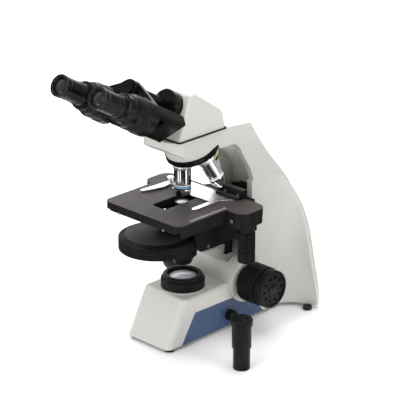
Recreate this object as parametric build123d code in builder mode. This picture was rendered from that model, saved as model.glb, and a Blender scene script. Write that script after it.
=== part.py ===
from build123d import *
from math import asin, cos, degrees, pi, radians, sin, sqrt, tan
import os

# Binocular compound microscope with a phase turret condenser.
# Frame: millimetres, +Z up, -Y towards the user, +X to the user's right. The origin is the
# point of the table straight under the optical axis.

os.makedirs("parts", exist_ok=True)

# ---- clearances -------------------------------------------------------------------------
slip = 0.05          # radial running clearance of a shaft in its bore
flat_gap = 0.2       # between flat faces that slide or are only seated
free_gap = 0.4       # between curved faces that move past each other
press = 0.02         # radial clearance of pieces that stay together

# ---- stand ------------------------------------------------------------------------------
foot_height = 5.0
foot_radius = 6.5
front_foot_x = 32.0
front_foot_y = -58.5
rear_foot_x = 76.0
rear_foot_y = 174.0
base_half_width = 41.0
base_top = 69.0
base_front = -70.0           # front edge at the bottom
base_front_top = -36.0       # front edge at the top
base_corner = 9.0
wall = 4.0
arm_half_width = 35.0
arm_wall = 9.0
back_y = 196.0
tail_half_width = 85.0       # rear skirt at the table
seat_z = 295.0               # top of the arm, where the head sits
nose_front = -50.0
nose_corner = 20.0
nose_bottom = 268.0
floor_z = foot_height
cover_thickness = 2.0
cover_top = floor_z + cover_thickness

dimmer_y = 50.0
dimmer_z = 21.0
lock_screw_radius = 2.0

# ---- focus drive ------------------------------------------------------------------------
focus_y = 80.0
focus_z = 66.0
boss_radius = 32.0
boss_half_length = 46.0
pinion_teeth = 12
gear_module = 1.0
pitch_radius = pinion_teeth * gear_module / 2
coarse_shaft_radius = 4.5
fine_shaft_radius = 2.5
bush_radius = 9.0
bush_length = 16.0
coarse_knob_radius = 28.0
coarse_knob_inner = 52.0     # inner face of each coarse knob
coarse_knob_length = 29.0
fine_knob_radius = 26.5
fine_knob_length = 14.0
collar_radius = 22.0
rack_width = 9.0

rail_back = 126.0            # wall of the arm's channel, where the guide rail is screwed
rail_top = 186.0

# ---- stage ------------------------------------------------------------------------------
stage_top = 197.2
stage_plate_thickness = 10.0
stage_half_width = 71.5
stage_front = -79.3
stage_corner = 11.0
beam_front = 10.0
beam_rear = 58.0
beam_left = -88.0
beam_right = 103.0
beam_right_thickness = 21.0
stage_skirt = 18.0           # depth of the side rails below the stage surface
slot_half_width = 13.0
slot_front = -46.0
slot_rear = 38.0
slot_corner = 6.0
slide_glass_length = 76.0
slide_glass_width = 26.0
knob_axis_x = 88.0
knob_axis_y = 33.0
stage_knob_radius = 12.0

# ---- condenser --------------------------------------------------------------------------
turret_x = -12.0
turret_y = -38.0
turret_radius = 52.0
turret_bottom = 134.5
turret_thickness = 9.0
condenser_cover_thickness = 10.5
condenser_radius = 27.0
condenser_shoulder = 172.0
condenser_top = 193.5
condenser_nose_radius = 11.0
cone_bottom = 104.0
condenser_knob_y = 62.0
condenser_knob_z = 152.0

# ---- illuminator ------------------------------------------------------------------------
collector_radius = 30.5
collector_ring_radius = 27.2
collector_top = 88.0
field_lens_radius = 20.3

# ---- nosepiece and objectives -----------------------------------------------------------
nosepiece_tilt = 21.0
shoulder_z = 246.4
seat_circle = 22.5
nosepiece_radius = 36.7
nosepiece_height = 14.7      # seat circle to the top of the turret, along its own axis
thread_radius = 10.16
objective_radius = 12.2

# ---- head -------------------------------------------------------------------------------
tube_tilt = 30.0
head_front = seat_z * sin(radians(tube_tilt)) + 36.5    # its front face, along the tube direction
head_rear = 46.0
head_half_width = 36.0
head_side_draft = 11.0
pivot_height = seat_z * cos(radians(tube_tilt)) + 23.0  # pivot axis, measured square to the tubes
eye_height = pivot_height - 30.2                        # eyepiece axes, measured the same way
eye_half_spacing = 35.0
arm_box_end = head_front + 78.0
arm_box_side = 47.0
dovetail_radius = 20.8
dovetail_depth = 6.0
eyepiece_front = head_front + 174.0
eyepiece_sleeve_radius = 11.6

# ---- centring telescope -----------------------------------------------------------------
telescope_x = 137.7
telescope_y = -27.9


def tube_plane(distance):
    """A plane square to the eyepiece tubes, with local x = X and local y = height."""
    tilt = radians(tube_tilt)
    return Plane(
        origin=(0, -distance * cos(tilt), distance * sin(tilt)),
        x_dir=(1, 0, 0),
        z_dir=(0, -cos(tilt), sin(tilt)),
    )


def nosepiece_plane(height):
    """A plane square to the nosepiece axis, this far above the circle of objective seats."""
    tilt = radians(nosepiece_tilt)
    centre_y = seat_circle * cos(tilt)
    centre_z = shoulder_z + seat_circle * sin(tilt)
    return Plane(
        origin=(0, centre_y - height * sin(tilt), centre_z + height * cos(tilt)),
        x_dir=(1, 0, 0),
        z_dir=(0, -sin(tilt), cos(tilt)),
    )


def objective_plane(index):
    """Seat of one objective: local z runs down its own axis."""
    tilt = radians(nosepiece_tilt)
    turn = radians(90 * index)
    apex_z = shoulder_z + seat_circle / sin(tilt)
    reach = seat_circle / sin(tilt)
    direction = (
        sin(tilt) * sin(turn),
        cos(tilt) * sin(tilt) * (1 - cos(turn)),
        -cos(tilt) * cos(tilt) - sin(tilt) * sin(tilt) * cos(turn),
    )
    origin = (reach * direction[0], reach * direction[1], apex_z + reach * direction[2])
    return Plane(origin=origin, x_dir=(cos(turn), 0, sin(turn) * 0.001), z_dir=direction)


def dome(start, height):
    """An arc from a rim point on the right up to the axis, centred on the axis."""
    rim, low = start
    radius = (rim ** 2 + height ** 2) / (2 * height)
    half = rim / 2
    middle = (half, low + height - radius + sqrt(radius ** 2 - half ** 2))
    return ThreePointArc(start, middle, (0, low + height))


# ========================================================================== STAND CASTING
def tail_section(height, half_width, ridge_y, rear_y, gully_y):
    """Plan section of the arm's rear skirt: hollow flanks that flare to a rounded back."""
    with BuildSketch(Plane.XY.offset(height)) as section:
        with BuildLine():
            front = Line((-arm_half_width, 100), (arm_half_width, 100))
            right = Line(front @ 1, (arm_half_width, gully_y))
            flare_mid = (
                arm_half_width + 0.34 * (half_width - arm_half_width),
                gully_y + 0.62 * (ridge_y - gully_y),
            )
            flare = ThreePointArc(right @ 1, flare_mid, (half_width, ridge_y))
            corner_mid = (half_width - 2.0, ridge_y + 0.65 * (rear_y - ridge_y))
            corner = ThreePointArc(flare @ 1, corner_mid, (half_width - 9, rear_y - 1.5))
            back = ThreePointArc(corner @ 1, (0, rear_y + 3), (9 - half_width, rear_y - 1.5))
            left_corner = ThreePointArc(back @ 1, (-corner_mid[0], corner_mid[1]), (-half_width, ridge_y))
            left_flare = ThreePointArc(
                left_corner @ 1, (-flare_mid[0], flare_mid[1]), (-arm_half_width, gully_y)
            )
            Line(left_flare @ 1, front @ 0)
        make_face()
    return section.sketch


rim_line = [(104, 84), (116, 104), (119, 128), (113.5, 172), (97.5, 221), (80, 250)]
back_line = [(97, 290), (131, 240), (164, 201), (185, 168), (193, 110), (back_y, floor_z)]

with BuildPart() as stand_casting:
    # base: a hollow wedge-fronted box
    with BuildSketch(Plane.YZ.offset(-base_half_width)):
        with BuildLine():
            Polyline(
                (base_front, floor_z),
                (base_front_top, base_top),
                (focus_y, base_top),
                (150, 60),
                (150, floor_z),
                close=True,
            )
        make_face()
    extrude(amount=2 * base_half_width)
    front_edges = stand_casting.edges().filter_by(lambda e: e.center().Y < -45 and abs(e.center().X) > 40)
    front_edges = front_edges.filter_by(lambda e: abs((e @ 1).Z - (e @ 0).Z) > 30)
    fillet(front_edges, radius=base_corner)
    top_edges = stand_casting.edges().filter_by(
        lambda e: abs((e @ 1).Z - base_top) < 0.1 and abs((e @ 0).Z - base_top) < 0.1 and e.center().Y < 60
    )
    fillet(top_edges, radius=5)
    # arm and nose: one profile seen from the side
    with BuildSketch(Plane.YZ.offset(-arm_half_width)):
        with BuildLine():
            rim = Spline(*rim_line, tangents=((0.4, 1), (-0.62, 1)))
            throat = RadiusArc(rim @ 1, (62, nose_bottom), -26)
            under = Line(throat @ 1, (-26, nose_bottom))
            chin = Line(under @ 1, (nose_front, 284))
            brow = Line(chin @ 1, (nose_front, seat_z))
            top = Line(brow @ 1, (48, seat_z))
            crown = Line(top @ 1, back_line[0])
            back = Spline(*back_line, tangents=((0.6, -1), (0.03, -1)))
            bottom = Line(back @ 1, (104, floor_z))
            Line(bottom @ 1, rim @ 0)
        make_face()
    extrude(amount=2 * arm_half_width)
    nose_edges = stand_casting.edges().filter_by(
        lambda e: abs(e.center().Y - nose_front) < 0.1 and abs((e @ 1).Z - (e @ 0).Z) > 8
    )
    fillet(nose_edges, radius=nose_corner)

sections = [
    tail_section(floor_z, tail_half_width, 184, 196, 138),
    tail_section(50, 80, 181, 196, 134),
    tail_section(100, 71, 178, 194, 130),
    tail_section(150, 58, 174, 188, 128),
    tail_section(186, 42, 163, 174, 127),
    tail_section(204, 36, 152, 160, 126),
]
tail = loft(sections)

with BuildPart() as stand:
    add(stand_casting.part)
    add(tail)
    # round bosses behind the focus knobs
    with BuildSketch(Plane.YZ.offset(-boss_half_length)):
        with Locations((focus_y, focus_z)):
            Circle(boss_radius)
    extrude(amount=2 * boss_half_length)
    # tilted seat for the nosepiece
    with BuildSketch(nosepiece_plane(nosepiece_height + free_gap)):
        Circle(nosepiece_radius - 1)
    extrude(amount=26)
    with BuildSketch(nosepiece_plane(nosepiece_height + free_gap)):
        Circle(nosepiece_radius + 3)
    extrude(amount=-40, mode=Mode.SUBTRACT)
    # plinth under the collector
    with BuildSketch(Plane.XY.offset(base_top - 3)):
        Circle(collector_radius + 3)
    extrude(amount=4)
    # nothing stands above the head seat
    with BuildSketch(Plane.XY.offset(seat_z)):
        with Locations((0, 0)):
            Rectangle(90, 96)
    extrude(amount=20, mode=Mode.SUBTRACT)
    # channel in the front of the arm, between two side walls
    with BuildSketch(Plane.YZ.offset(-arm_half_width + arm_wall)):
        with BuildLine():
            wall_line = Line((rail_back, 92), (rail_back, rail_top + 2))
            inner = Spline(wall_line @ 1, (110, 224), (91, 247), tangents=((0, 1), (-0.66, 1)))
            lip = RadiusArc(inner @ 1, (68, 257), -22)
            Polyline(lip @ 1, (40, 257), (40, 92), wall_line @ 0)
        make_face()
    extrude(amount=2 * (arm_half_width - arm_wall), mode=Mode.SUBTRACT)
    # inside of the base, open at the bottom
    with BuildSketch(Plane.XY.offset(floor_z)):
        with Locations((0, 57)):
            RectangleRounded(2 * (base_half_width - wall), 210, 6)
    extrude(amount=26, mode=Mode.SUBTRACT)
    with BuildSketch(Plane.XY.offset(floor_z + 26)):
        with Locations((0, 7)):
            RectangleRounded(2 * (base_half_width - wall), 74, 6)
    extrude(amount=base_top - wall - floor_z - 26, mode=Mode.SUBTRACT)
    # hollow of the arm behind the guide rail
    with BuildSketch(Plane.YZ.offset(-22)):
        with BuildLine():
            Polyline((136, 31), (136, 176), (150, 176), (182, 120), (182, 31), close=True)
        make_face()
    extrude(amount=44, mode=Mode.SUBTRACT)
    # cut where the tapered front would be left too thin
    with BuildSketch(Plane.XY.offset(floor_z)):
        with Locations((0, 178)):
            Rectangle(56, 34)
    extrude(amount=50, mode=Mode.SUBTRACT)
    # window for the rear panel
    with BuildSketch(Plane.XZ.offset(-188)):
        with Locations((0, 34)):
            RectangleRounded(72, 46, 3)
    extrude(amount=-30, mode=Mode.SUBTRACT)
    # light well under the collector
    with BuildSketch(Plane.XY.offset(base_top - 10)):
        Circle(collector_ring_radius - 5)
    extrude(amount=14, mode=Mode.SUBTRACT)
    # light path through the nose, and the seat of the head's dovetail
    with BuildSketch(Plane.XY.offset(240)):
        Circle(12)
    extrude(amount=60, mode=Mode.SUBTRACT)
    with BuildSketch(Plane.XY.offset(seat_z - dovetail_depth - flat_gap)):
        Circle(dovetail_radius + slip)
    extrude(amount=20, mode=Mode.SUBTRACT)
    # bore for the focus shafts
    with BuildSketch(Plane.YZ.offset(-boss_half_length - 1)):
        with Locations((focus_y, focus_z)):
            Circle(bush_radius + press)
    extrude(amount=2 * boss_half_length + 2, mode=Mode.SUBTRACT)
    # slot for the focus rack, and its gear pocket
    with BuildSketch(Plane.XY.offset(floor_z + 20)):
        with Locations((0, focus_y + 9)):
            Rectangle(rack_width + 2, 19)
    extrude(amount=90, mode=Mode.SUBTRACT)
    # shallow pockets for the side panels
    for side in (-1, 1):
        with BuildSketch(Plane.YZ.offset(side * (base_half_width - 2.2))):
            with BuildLine():
                Polyline((-44, floor_z - 1), (-17.5, 46), (86, 44), (120, floor_z - 1), close=True)
            make_face()
        extrude(amount=side * 8, mode=Mode.SUBTRACT)
    # hole for the dimmer's shaft
    with BuildSketch(Plane.YZ.offset(base_half_width - 8)):
        with Locations((dimmer_y, dimmer_z)):
            Circle(3.3)
    extrude(amount=10, mode=Mode.SUBTRACT)
    # hole for the head's lock screw
    with BuildSketch(Plane.YZ.offset(-arm_half_width - 1)):
        with Locations((0, seat_z - 3.5)):
            Circle(lock_screw_radius + slip)
    extrude(amount=arm_half_width - 10, mode=Mode.SUBTRACT)
    # the round bosses stay whole over the panels
    for side in (-1, 1):
        with BuildSketch(Plane.YZ.offset(side * (base_half_width - 3))):
            with Locations((focus_y, focus_z)):
                Circle(boss_radius)
            with Locations((focus_y, focus_z)):
                Circle(bush_radius + press, mode=Mode.SUBTRACT)
        extrude(amount=side * (boss_half_length - base_half_width + 3))
stand.part.label = "stand_casting"
export_step(stand.part, "parts/stand_casting.step")

# ================================================================= BASE COVER, FEET, PANELS
post_places = [(-30, -42), (30, -42), (-31, 120), (31, 120)]
screw_radius = 1.7

with BuildPart() as bottom_cover:
    with BuildSketch(Plane.XY.offset(floor_z)):
        with Locations((0, 57)):
            RectangleRounded(2 * (base_half_width - wall) - 0.6, 209.4, 5.7)
        with Locations((0, 178)):
            Rectangle(55.4, 33.4)
    extrude(amount=cover_thickness)
    with Locations(Plane.XY.offset(floor_z)):
        with Locations(*[(x, y) for x, y in post_places]):
            Hole(screw_radius + 0.2)
    # slots that let air to the lamp's heat sink
    with BuildSketch(Plane.XY.offset(floor_z)):
        with GridLocations(0, 6, 1, 5):
            SlotOverall(24, 2.5)
    extrude(amount=cover_thickness, mode=Mode.SUBTRACT)
    # standoffs of the driver board
    with BuildSketch(Plane.XY.offset(cover_top)):
        with Locations((0, 80)):
            with GridLocations(52, 48, 2, 2):
                Circle(2.5)
    extrude(amount=5)
bottom_cover.part.label = "bottom_cover"
export_step(bottom_cover.part, "parts/bottom_cover.step")

with BuildPart() as cover_screws:
    with BuildSketch(Plane.XY.offset(floor_z - 1.6)):
        with Locations(*post_places):
            Circle(3)
    extrude(amount=1.6)
    with BuildSketch(Plane.XY.offset(floor_z)):
        with Locations(*post_places):
            Circle(screw_radius)
    extrude(amount=8)
cover_screws.part.label = "cover_screws"
export_step(cover_screws.part, "parts/cover_screws.step")

foot_places = [
    (-front_foot_x, front_foot_y),
    (front_foot_x, front_foot_y),
    (-rear_foot_x, rear_foot_y),
    (rear_foot_x, rear_foot_y),
]
with BuildPart() as rubber_feet:
    with BuildSketch():
        with Locations(*foot_places):
            Circle(foot_radius)
    extrude(amount=foot_height)
    lower_rims = rubber_feet.edges().group_by(Axis.Z)[0]
    fillet(lower_rims, radius=0.8)
rubber_feet.part.label = "rubber_feet"
export_step(rubber_feet.part, "parts/rubber_feet.step")

panel_thickness = 1.9
with BuildPart() as side_panels:
    for side in (-1, 1):
        with BuildSketch(Plane.YZ.offset(side * (base_half_width - 2.2))):
            with BuildLine():
                Polyline((-43.2, floor_z), (-17.0, 45.6), (85.6, 43.6), (118.6, floor_z), close=True)
            make_face()
            with Locations((focus_y, focus_z)):
                Circle(boss_radius + 0.4, mode=Mode.SUBTRACT)
            if side > 0:
                with Locations((dimmer_y, dimmer_z)):
                    Circle(3.3, mode=Mode.SUBTRACT)
        extrude(amount=side * panel_thickness)
side_panels.part.label = "side_panels"
export_step(side_panels.part, "parts/side_panels.step")

rear_panel_y = 188.0
with BuildPart() as rear_panel:
    with BuildSketch(Plane.XZ.offset(-rear_panel_y)):
        with Locations((0, 34)):
            RectangleRounded(71.4, 45.4, 2.8)
        with Locations((-14, 34)):
            Rectangle(27.4, 20.4, mode=Mode.SUBTRACT)
        with Locations((19, 34)):
            Rectangle(15.4, 21.4, mode=Mode.SUBTRACT)
    extrude(amount=-2)
rear_panel.part.label = "rear_panel"
export_step(rear_panel.part, "parts/rear_panel.step")

# appliance inlet: a flanged box with three blades standing in its socket
with BuildPart() as power_inlet:
    with BuildSketch(Plane.XZ.offset(-rear_panel_y + 16)):
        with Locations((-14, 34)):
            Rectangle(27, 20)
    extrude(amount=-18)
    with BuildSketch(Plane.XZ.offset(-rear_panel_y - 2)):
        with Locations((-14, 34)):
            RectangleRounded(31, 24, 2)
    extrude(amount=-1.6)
    with BuildSketch(Plane.XZ.offset(-rear_panel_y - 3.6)):
        with Locations((-14, 34)):
            Rectangle(23, 15.5)
    extrude(amount=15, mode=Mode.SUBTRACT)
    with BuildSketch(Plane.XZ.offset(-rear_panel_y + 11.4)):
        with Locations((-21, 32), (-7, 32), (-14, 36)):
            Rectangle(2, 4)
    extrude(amount=-9)
power_inlet.part.label = "power_inlet"
export_step(power_inlet.part, "parts/power_inlet.step")

with BuildPart() as switch_frame:
    with BuildSketch(Plane.XZ.offset(-rear_panel_y + 10)):
        with Locations((19, 34)):
            Rectangle(15, 21)
    extrude(amount=-12)
    with BuildSketch(Plane.XZ.offset(-rear_panel_y - 2)):
        with Locations((19, 34)):
            RectangleRounded(18, 24, 1.5)
    extrude(amount=-1.2)
    with BuildSketch(Plane.XZ.offset(-rear_panel_y - 3.2)):
        with Locations((19, 34)):
            Rectangle(12, 18)
    extrude(amount=9, mode=Mode.SUBTRACT)
switch_frame.part.label = "switch_frame"
export_step(switch_frame.part, "parts/switch_frame.step")

# rocker: turns about a pin along X in the middle of its frame
with BuildPart() as power_switch:
    with BuildSketch(Plane.YZ.offset(19 - 5.6)):
        with BuildLine():
            Polyline(
                (rear_panel_y + 1.0, 26.5),
                (rear_panel_y + 4.2, 26.5),
                (rear_panel_y + 4.9, 34),
                (rear_panel_y + 6.6, 41.5),
                (rear_panel_y + 1.0, 41.5),
                (rear_panel_y - 2.0, 34),
                close=True,
            )
        make_face()
    extrude(amount=11.2)
power_switch.part.label = "power_switch"
export_step(power_switch.part, "parts/power_switch.step")

with BuildPart() as dimmer_knob:
    with BuildSketch(Plane.YZ.offset(base_half_width + 0.3)):
        with Locations((dimmer_y, dimmer_z)):
            Circle(8)
    extrude(amount=9.5)
    fillet(dimmer_knob.edges().group_by(Axis.X)[-1], radius=1.2)
    with BuildSketch(Plane.YZ.offset(base_half_width - 14)):
        with Locations((dimmer_y, dimmer_z)):
            Circle(3)
    extrude(amount=14.4)
    # pointer line
    with BuildSketch(Plane.YZ.offset(base_half_width + 9.0)):
        with Locations((dimmer_y, dimmer_z + 4)):
            Rectangle(1.2, 6)
    extrude(amount=2, mode=Mode.SUBTRACT)
dimmer_knob.part.label = "dimmer_knob"
export_step(dimmer_knob.part, "parts/dimmer_knob.step")

# ============================================================================= ILLUMINATOR
with BuildPart() as heat_sink:
    with BuildSketch(Plane.XY.offset(24)):
        Rectangle(44, 36)
    extrude(amount=4)
    with BuildSketch(Plane.XY.offset(cover_top)):
        with GridLocations(6.8, 0, 7, 1):
            Rectangle(2, 36)
    extrude(amount=17.2)
heat_sink.part.label = "heat_sink"
export_step(heat_sink.part, "parts/heat_sink.step")

with BuildPart() as led_module:
    with BuildSketch(Plane.XY.offset(28)):
        Circle(10)
    extrude(amount=1.6)
    with BuildSketch(Plane.XY.offset(29.6)):
        Rectangle(7, 7)
    extrude(amount=1.4)
    with BuildSketch(Plane.XZ):
        with BuildLine():
            base_line = Line((0, 31), (2.8, 31))
            cap = dome((2.8, 31), 2.2)
            Line(cap @ 1, base_line @ 0)
        make_face()
    revolve(axis=Axis.Z)
led_module.part.label = "led_module"
export_step(led_module.part, "parts/led_module.step")

with BuildPart() as driver_board:
    with BuildSketch(Plane.XY.offset(cover_top + 5)):
        with Locations((0, 80)):
            Rectangle(60, 56)
    extrude(amount=1.6)
    with BuildSketch(Plane.XY.offset(cover_top + 6.6)):
        with Locations((-16, 66)):
            Rectangle(18, 14)
        with Locations((14, 66)):
            Circle(6)
        with Locations((20, 96)):
            Rectangle(12, 8)
    extrude(amount=9)
driver_board.part.label = "driver_board"
export_step(driver_board.part, "parts/driver_board.step")

# collector: flanged sleeve that carries the field lens; the iris ring turns round it
plinth_top = base_top + 1
ring_bottom = plinth_top + 4.5
ring_top = collector_top - 4.5
with BuildPart() as collector_housing:
    with BuildSketch(Plane.XZ):
        with BuildLine():
            Polyline(
                (field_lens_radius - 3, plinth_top),
                (collector_radius, plinth_top),
                (collector_radius, ring_bottom - 0.3),
                (collector_ring_radius - 1, ring_bottom - 0.3),
                (collector_ring_radius - 1, ring_top + 0.3),
                (collector_ring_radius, ring_top + 0.3),
                (collector_ring_radius, collector_top - 1.2),
                (collector_ring_radius - 1.2, collector_top),
                (field_lens_radius + 1.6, collector_top),
                (field_lens_radius + 0.1, collector_top - 2.5),
                (field_lens_radius + 0.1, collector_top - 9),
                (field_lens_radius - 3, collector_top - 9),
                close=True,
            )
        make_face()
    revolve(axis=Axis.Z)
collector_housing.part.label = "collector_housing"
export_step(collector_housing.part, "parts/collector_housing.step")

with BuildPart() as field_iris_ring:
    with BuildSketch(Plane.XY.offset(ring_bottom)):
        Circle(collector_radius)
        Circle(collector_ring_radius - 1 + 0.3, mode=Mode.SUBTRACT)
    extrude(amount=ring_top - ring_bottom)
    chamfer(field_iris_ring.edges().group_by(Axis.Z)[-1].sort_by(SortBy.RADIUS)[-1], length=2.4)
    # grip flutes
    with BuildSketch(Plane.XY.offset(ring_bottom + 1)):
        with PolarLocations(collector_radius + 0.5, 48):
            Circle(1.0)
    extrude(amount=ring_top - ring_bottom - 4.6, mode=Mode.SUBTRACT)
field_iris_ring.part.label = "field_iris_ring"
export_step(field_iris_ring.part, "parts/field_iris_ring.step")

with BuildPart() as field_lens:
    with BuildSketch(Plane.XZ):
        with BuildLine():
            flat = Line((0, collector_top - 9), (field_lens_radius, collector_top - 9))
            edge = Line(flat @ 1, (field_lens_radius, collector_top - 5))
            crown = dome((field_lens_radius, collector_top - 5), 4.5)
            Line(crown @ 1, flat @ 0)
        make_face()
    revolve(axis=Axis.Z)
field_lens.part.label = "field_lens"
export_step(field_lens.part, "parts/field_lens.step")

# ============================================================================= FOCUS DRIVE
with BuildPart() as focus_bushes:
    for side in (-1, 1):
        with BuildSketch(Plane.YZ.offset(side * (boss_half_length - bush_length))):
            with Locations((focus_y, focus_z)):
                Circle(bush_radius)
                Circle(coarse_shaft_radius + slip, mode=Mode.SUBTRACT)
        extrude(amount=side * bush_length)
focus_bushes.part.label = "focus_bushes"
export_step(focus_bushes.part, "parts/focus_bushes.step")


def tooth_points(angle, root, tip, half_root, half_tip):
    """Four corners of one gear tooth around the shaft's centre, in (y, z)."""
    corners = []
    for radius, half in ((root, -half_root), (tip, -half_tip), (tip, half_tip), (root, half_root)):
        corners.append(
            (
                focus_y + radius * cos(angle) - half * sin(angle),
                focus_z + radius * sin(angle) + half * cos(angle),
            )
        )
    return corners


knob_end = coarse_knob_inner + coarse_knob_length
with BuildPart() as coarse_shaft:
    with BuildSketch(Plane.YZ.offset(-knob_end + 8)):
        with Locations((focus_y, focus_z)):
            Circle(coarse_shaft_radius)
    extrude(amount=2 * (knob_end - 8))
    for index in range(pinion_teeth):
        with BuildSketch(Plane.YZ.offset(-rack_width / 2)):
            with BuildLine():
                corners = tooth_points(
                    2 * pi * index / pinion_teeth, pitch_radius - 1.6, pitch_radius + 0.85, 1.05, 0.34
                )
                Polyline(*corners, close=True)
            make_face()
        extrude(amount=rack_width)
    with BuildSketch(Plane.YZ.offset(-knob_end + 7)):
        with Locations((focus_y, focus_z)):
            Circle(fine_shaft_radius + slip)
    extrude(amount=2 * (knob_end - 7), mode=Mode.SUBTRACT)
coarse_shaft.part.label = "coarse_shaft"
export_step(coarse_shaft.part, "parts/coarse_shaft.step")

with BuildPart() as coarse_knobs:
    for side in (-1, 1):
        with BuildSketch(Plane.YZ.offset(side * coarse_knob_inner)):
            with Locations((focus_y, focus_z)):
                Circle(coarse_knob_radius)
        extrude(amount=side * coarse_knob_length)
        ends = coarse_knobs.edges().filter_by(lambda e: e.center().X * side > coarse_knob_inner - 1)
        chamfer(ends.filter_by(GeomType.CIRCLE), length=1.0)
        # shallow wide ribs round the grip
        with BuildSketch(Plane.YZ.offset(side * (coarse_knob_inner + 2.5))):
            with Locations((focus_y, focus_z)):
                with PolarLocations(coarse_knob_radius + 0.7, 30):
                    Circle(1.5)
        extrude(amount=side * (coarse_knob_length - 5), mode=Mode.SUBTRACT)
        # hollow behind the grip, and the shaft bore
        with BuildSketch(Plane.YZ.offset(side * coarse_knob_inner)):
            with Locations((focus_y, focus_z)):
                Circle(coarse_knob_radius - 5)
                Circle(10, mode=Mode.SUBTRACT)
        extrude(amount=side * (coarse_knob_length - 10), mode=Mode.SUBTRACT)
        with BuildSketch(Plane.YZ.offset(side * coarse_knob_inner)):
            with Locations((focus_y, focus_z)):
                Circle(coarse_shaft_radius + press)
        extrude(amount=side * coarse_knob_length, mode=Mode.SUBTRACT)
coarse_knobs.part.label = "coarse_knobs"
export_step(coarse_knobs.part, "parts/coarse_knobs.step")

fine_start = knob_end + 0.8
fine_end = fine_start + fine_knob_length
with BuildPart() as fine_shaft:
    with BuildSketch(Plane.YZ.offset(-fine_end + 4)):
        with Locations((focus_y, focus_z)):
            Circle(fine_shaft_radius)
    extrude(amount=2 * (fine_end - 4))
fine_shaft.part.label = "fine_shaft"
export_step(fine_shaft.part, "parts/fine_shaft.step")

with BuildPart() as fine_knobs:
    for side in (-1, 1):
        with BuildSketch(Plane.YZ.offset(side * fine_start)):
            with Locations((focus_y, focus_z)):
                Circle(fine_knob_radius)
        extrude(amount=side * fine_knob_length)
        ends = fine_knobs.edges().filter_by(lambda e: e.center().X * side > fine_start - 1)
        chamfer(ends.filter_by(GeomType.CIRCLE), length=0.9)
        # dished face with a ring of finger dimples
        with BuildSketch(Plane.YZ.offset(side * fine_end)):
            with Locations((focus_y, focus_z)):
                Circle(fine_knob_radius - 3.2)
        extrude(amount=-side * 1.6, mode=Mode.SUBTRACT)
        with BuildSketch(Plane.YZ.offset(side * (fine_end - 1.6))):
            with Locations((focus_y, focus_z)):
                with PolarLocations(17, 10):
                    Circle(2.2)
        extrude(amount=-side * 2.0, mode=Mode.SUBTRACT)
        with BuildSketch(Plane.YZ.offset(side * fine_start)):
            with Locations((focus_y, focus_z)):
                Circle(fine_shaft_radius + press)
        extrude(amount=side * (fine_knob_length - 4), mode=Mode.SUBTRACT)
fine_knobs.part.label = "fine_knobs"
export_step(fine_knobs.part, "parts/fine_knobs.step")

with BuildPart() as tension_collar:
    with BuildSketch(Plane.YZ.offset(boss_half_length + 0.3)):
        with Locations((focus_y, focus_z)):
            Circle(collar_radius)
            Circle(coarse_shaft_radius + 0.3, mode=Mode.SUBTRACT)
            with PolarLocations(collar_radius + 0.6, 24):
                Circle(1.4, mode=Mode.SUBTRACT)
    extrude(amount=coarse_knob_inner - boss_half_length - 0.6)
tension_collar.part.label = "tension_collar"
export_step(tension_collar.part, "parts/tension_collar.step")

# rack: its teeth face the user and mesh with the pinion from behind
rack_pitch = pi * gear_module
rack_pitch_y = focus_y + pitch_radius
rack_back = focus_y + 14.0
rack_bottom = 46.0
rack_top = 184.0
with BuildPart() as focus_rack:
    with BuildSketch(Plane.YZ.offset(-rack_width / 2)):
        with Locations(((rack_pitch_y + 1.35 + rack_back) / 2, (rack_bottom + rack_top) / 2)):
            Rectangle(rack_back - rack_pitch_y - 1.35, rack_top - rack_bottom)
    extrude(amount=rack_width)
    for index in range(-5, 6):
        tooth_z = focus_z + (index + 0.5) * rack_pitch
        with BuildSketch(Plane.YZ.offset(-rack_width / 2)):
            with BuildLine():
                Polyline(
                    (rack_pitch_y + 1.5, tooth_z - 1.1),
                    (rack_pitch_y - 0.8, tooth_z - 0.3),
                    (rack_pitch_y - 0.8, tooth_z + 0.3),
                    (rack_pitch_y + 1.5, tooth_z + 1.1),
                    close=True,
                )
            make_face()
        extrude(amount=rack_width)
focus_rack.part.label = "focus_rack"
export_step(focus_rack.part, "parts/focus_rack.step")

# dovetail rail on the arm
rail_front = 113.0
rail_bottom = 101.0
rail_root = 9.0
rail_flare = 14.0
with BuildPart() as guide_rail:
    with BuildSketch(Plane.XY.offset(rail_bottom)):
        with BuildLine():
            Polyline(
                (-rail_root, rail_back),
                (-rail_root, rail_front + 9),
                (-rail_flare, rail_front),
                (rail_flare, rail_front),
                (rail_root, rail_front + 9),
                (rail_root, rail_back),
                close=True,
            )
        make_face()
    extrude(amount=rail_top - rail_bottom)
guide_rail.part.label = "guide_rail"
export_step(guide_rail.part, "parts/guide_rail.step")

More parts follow.
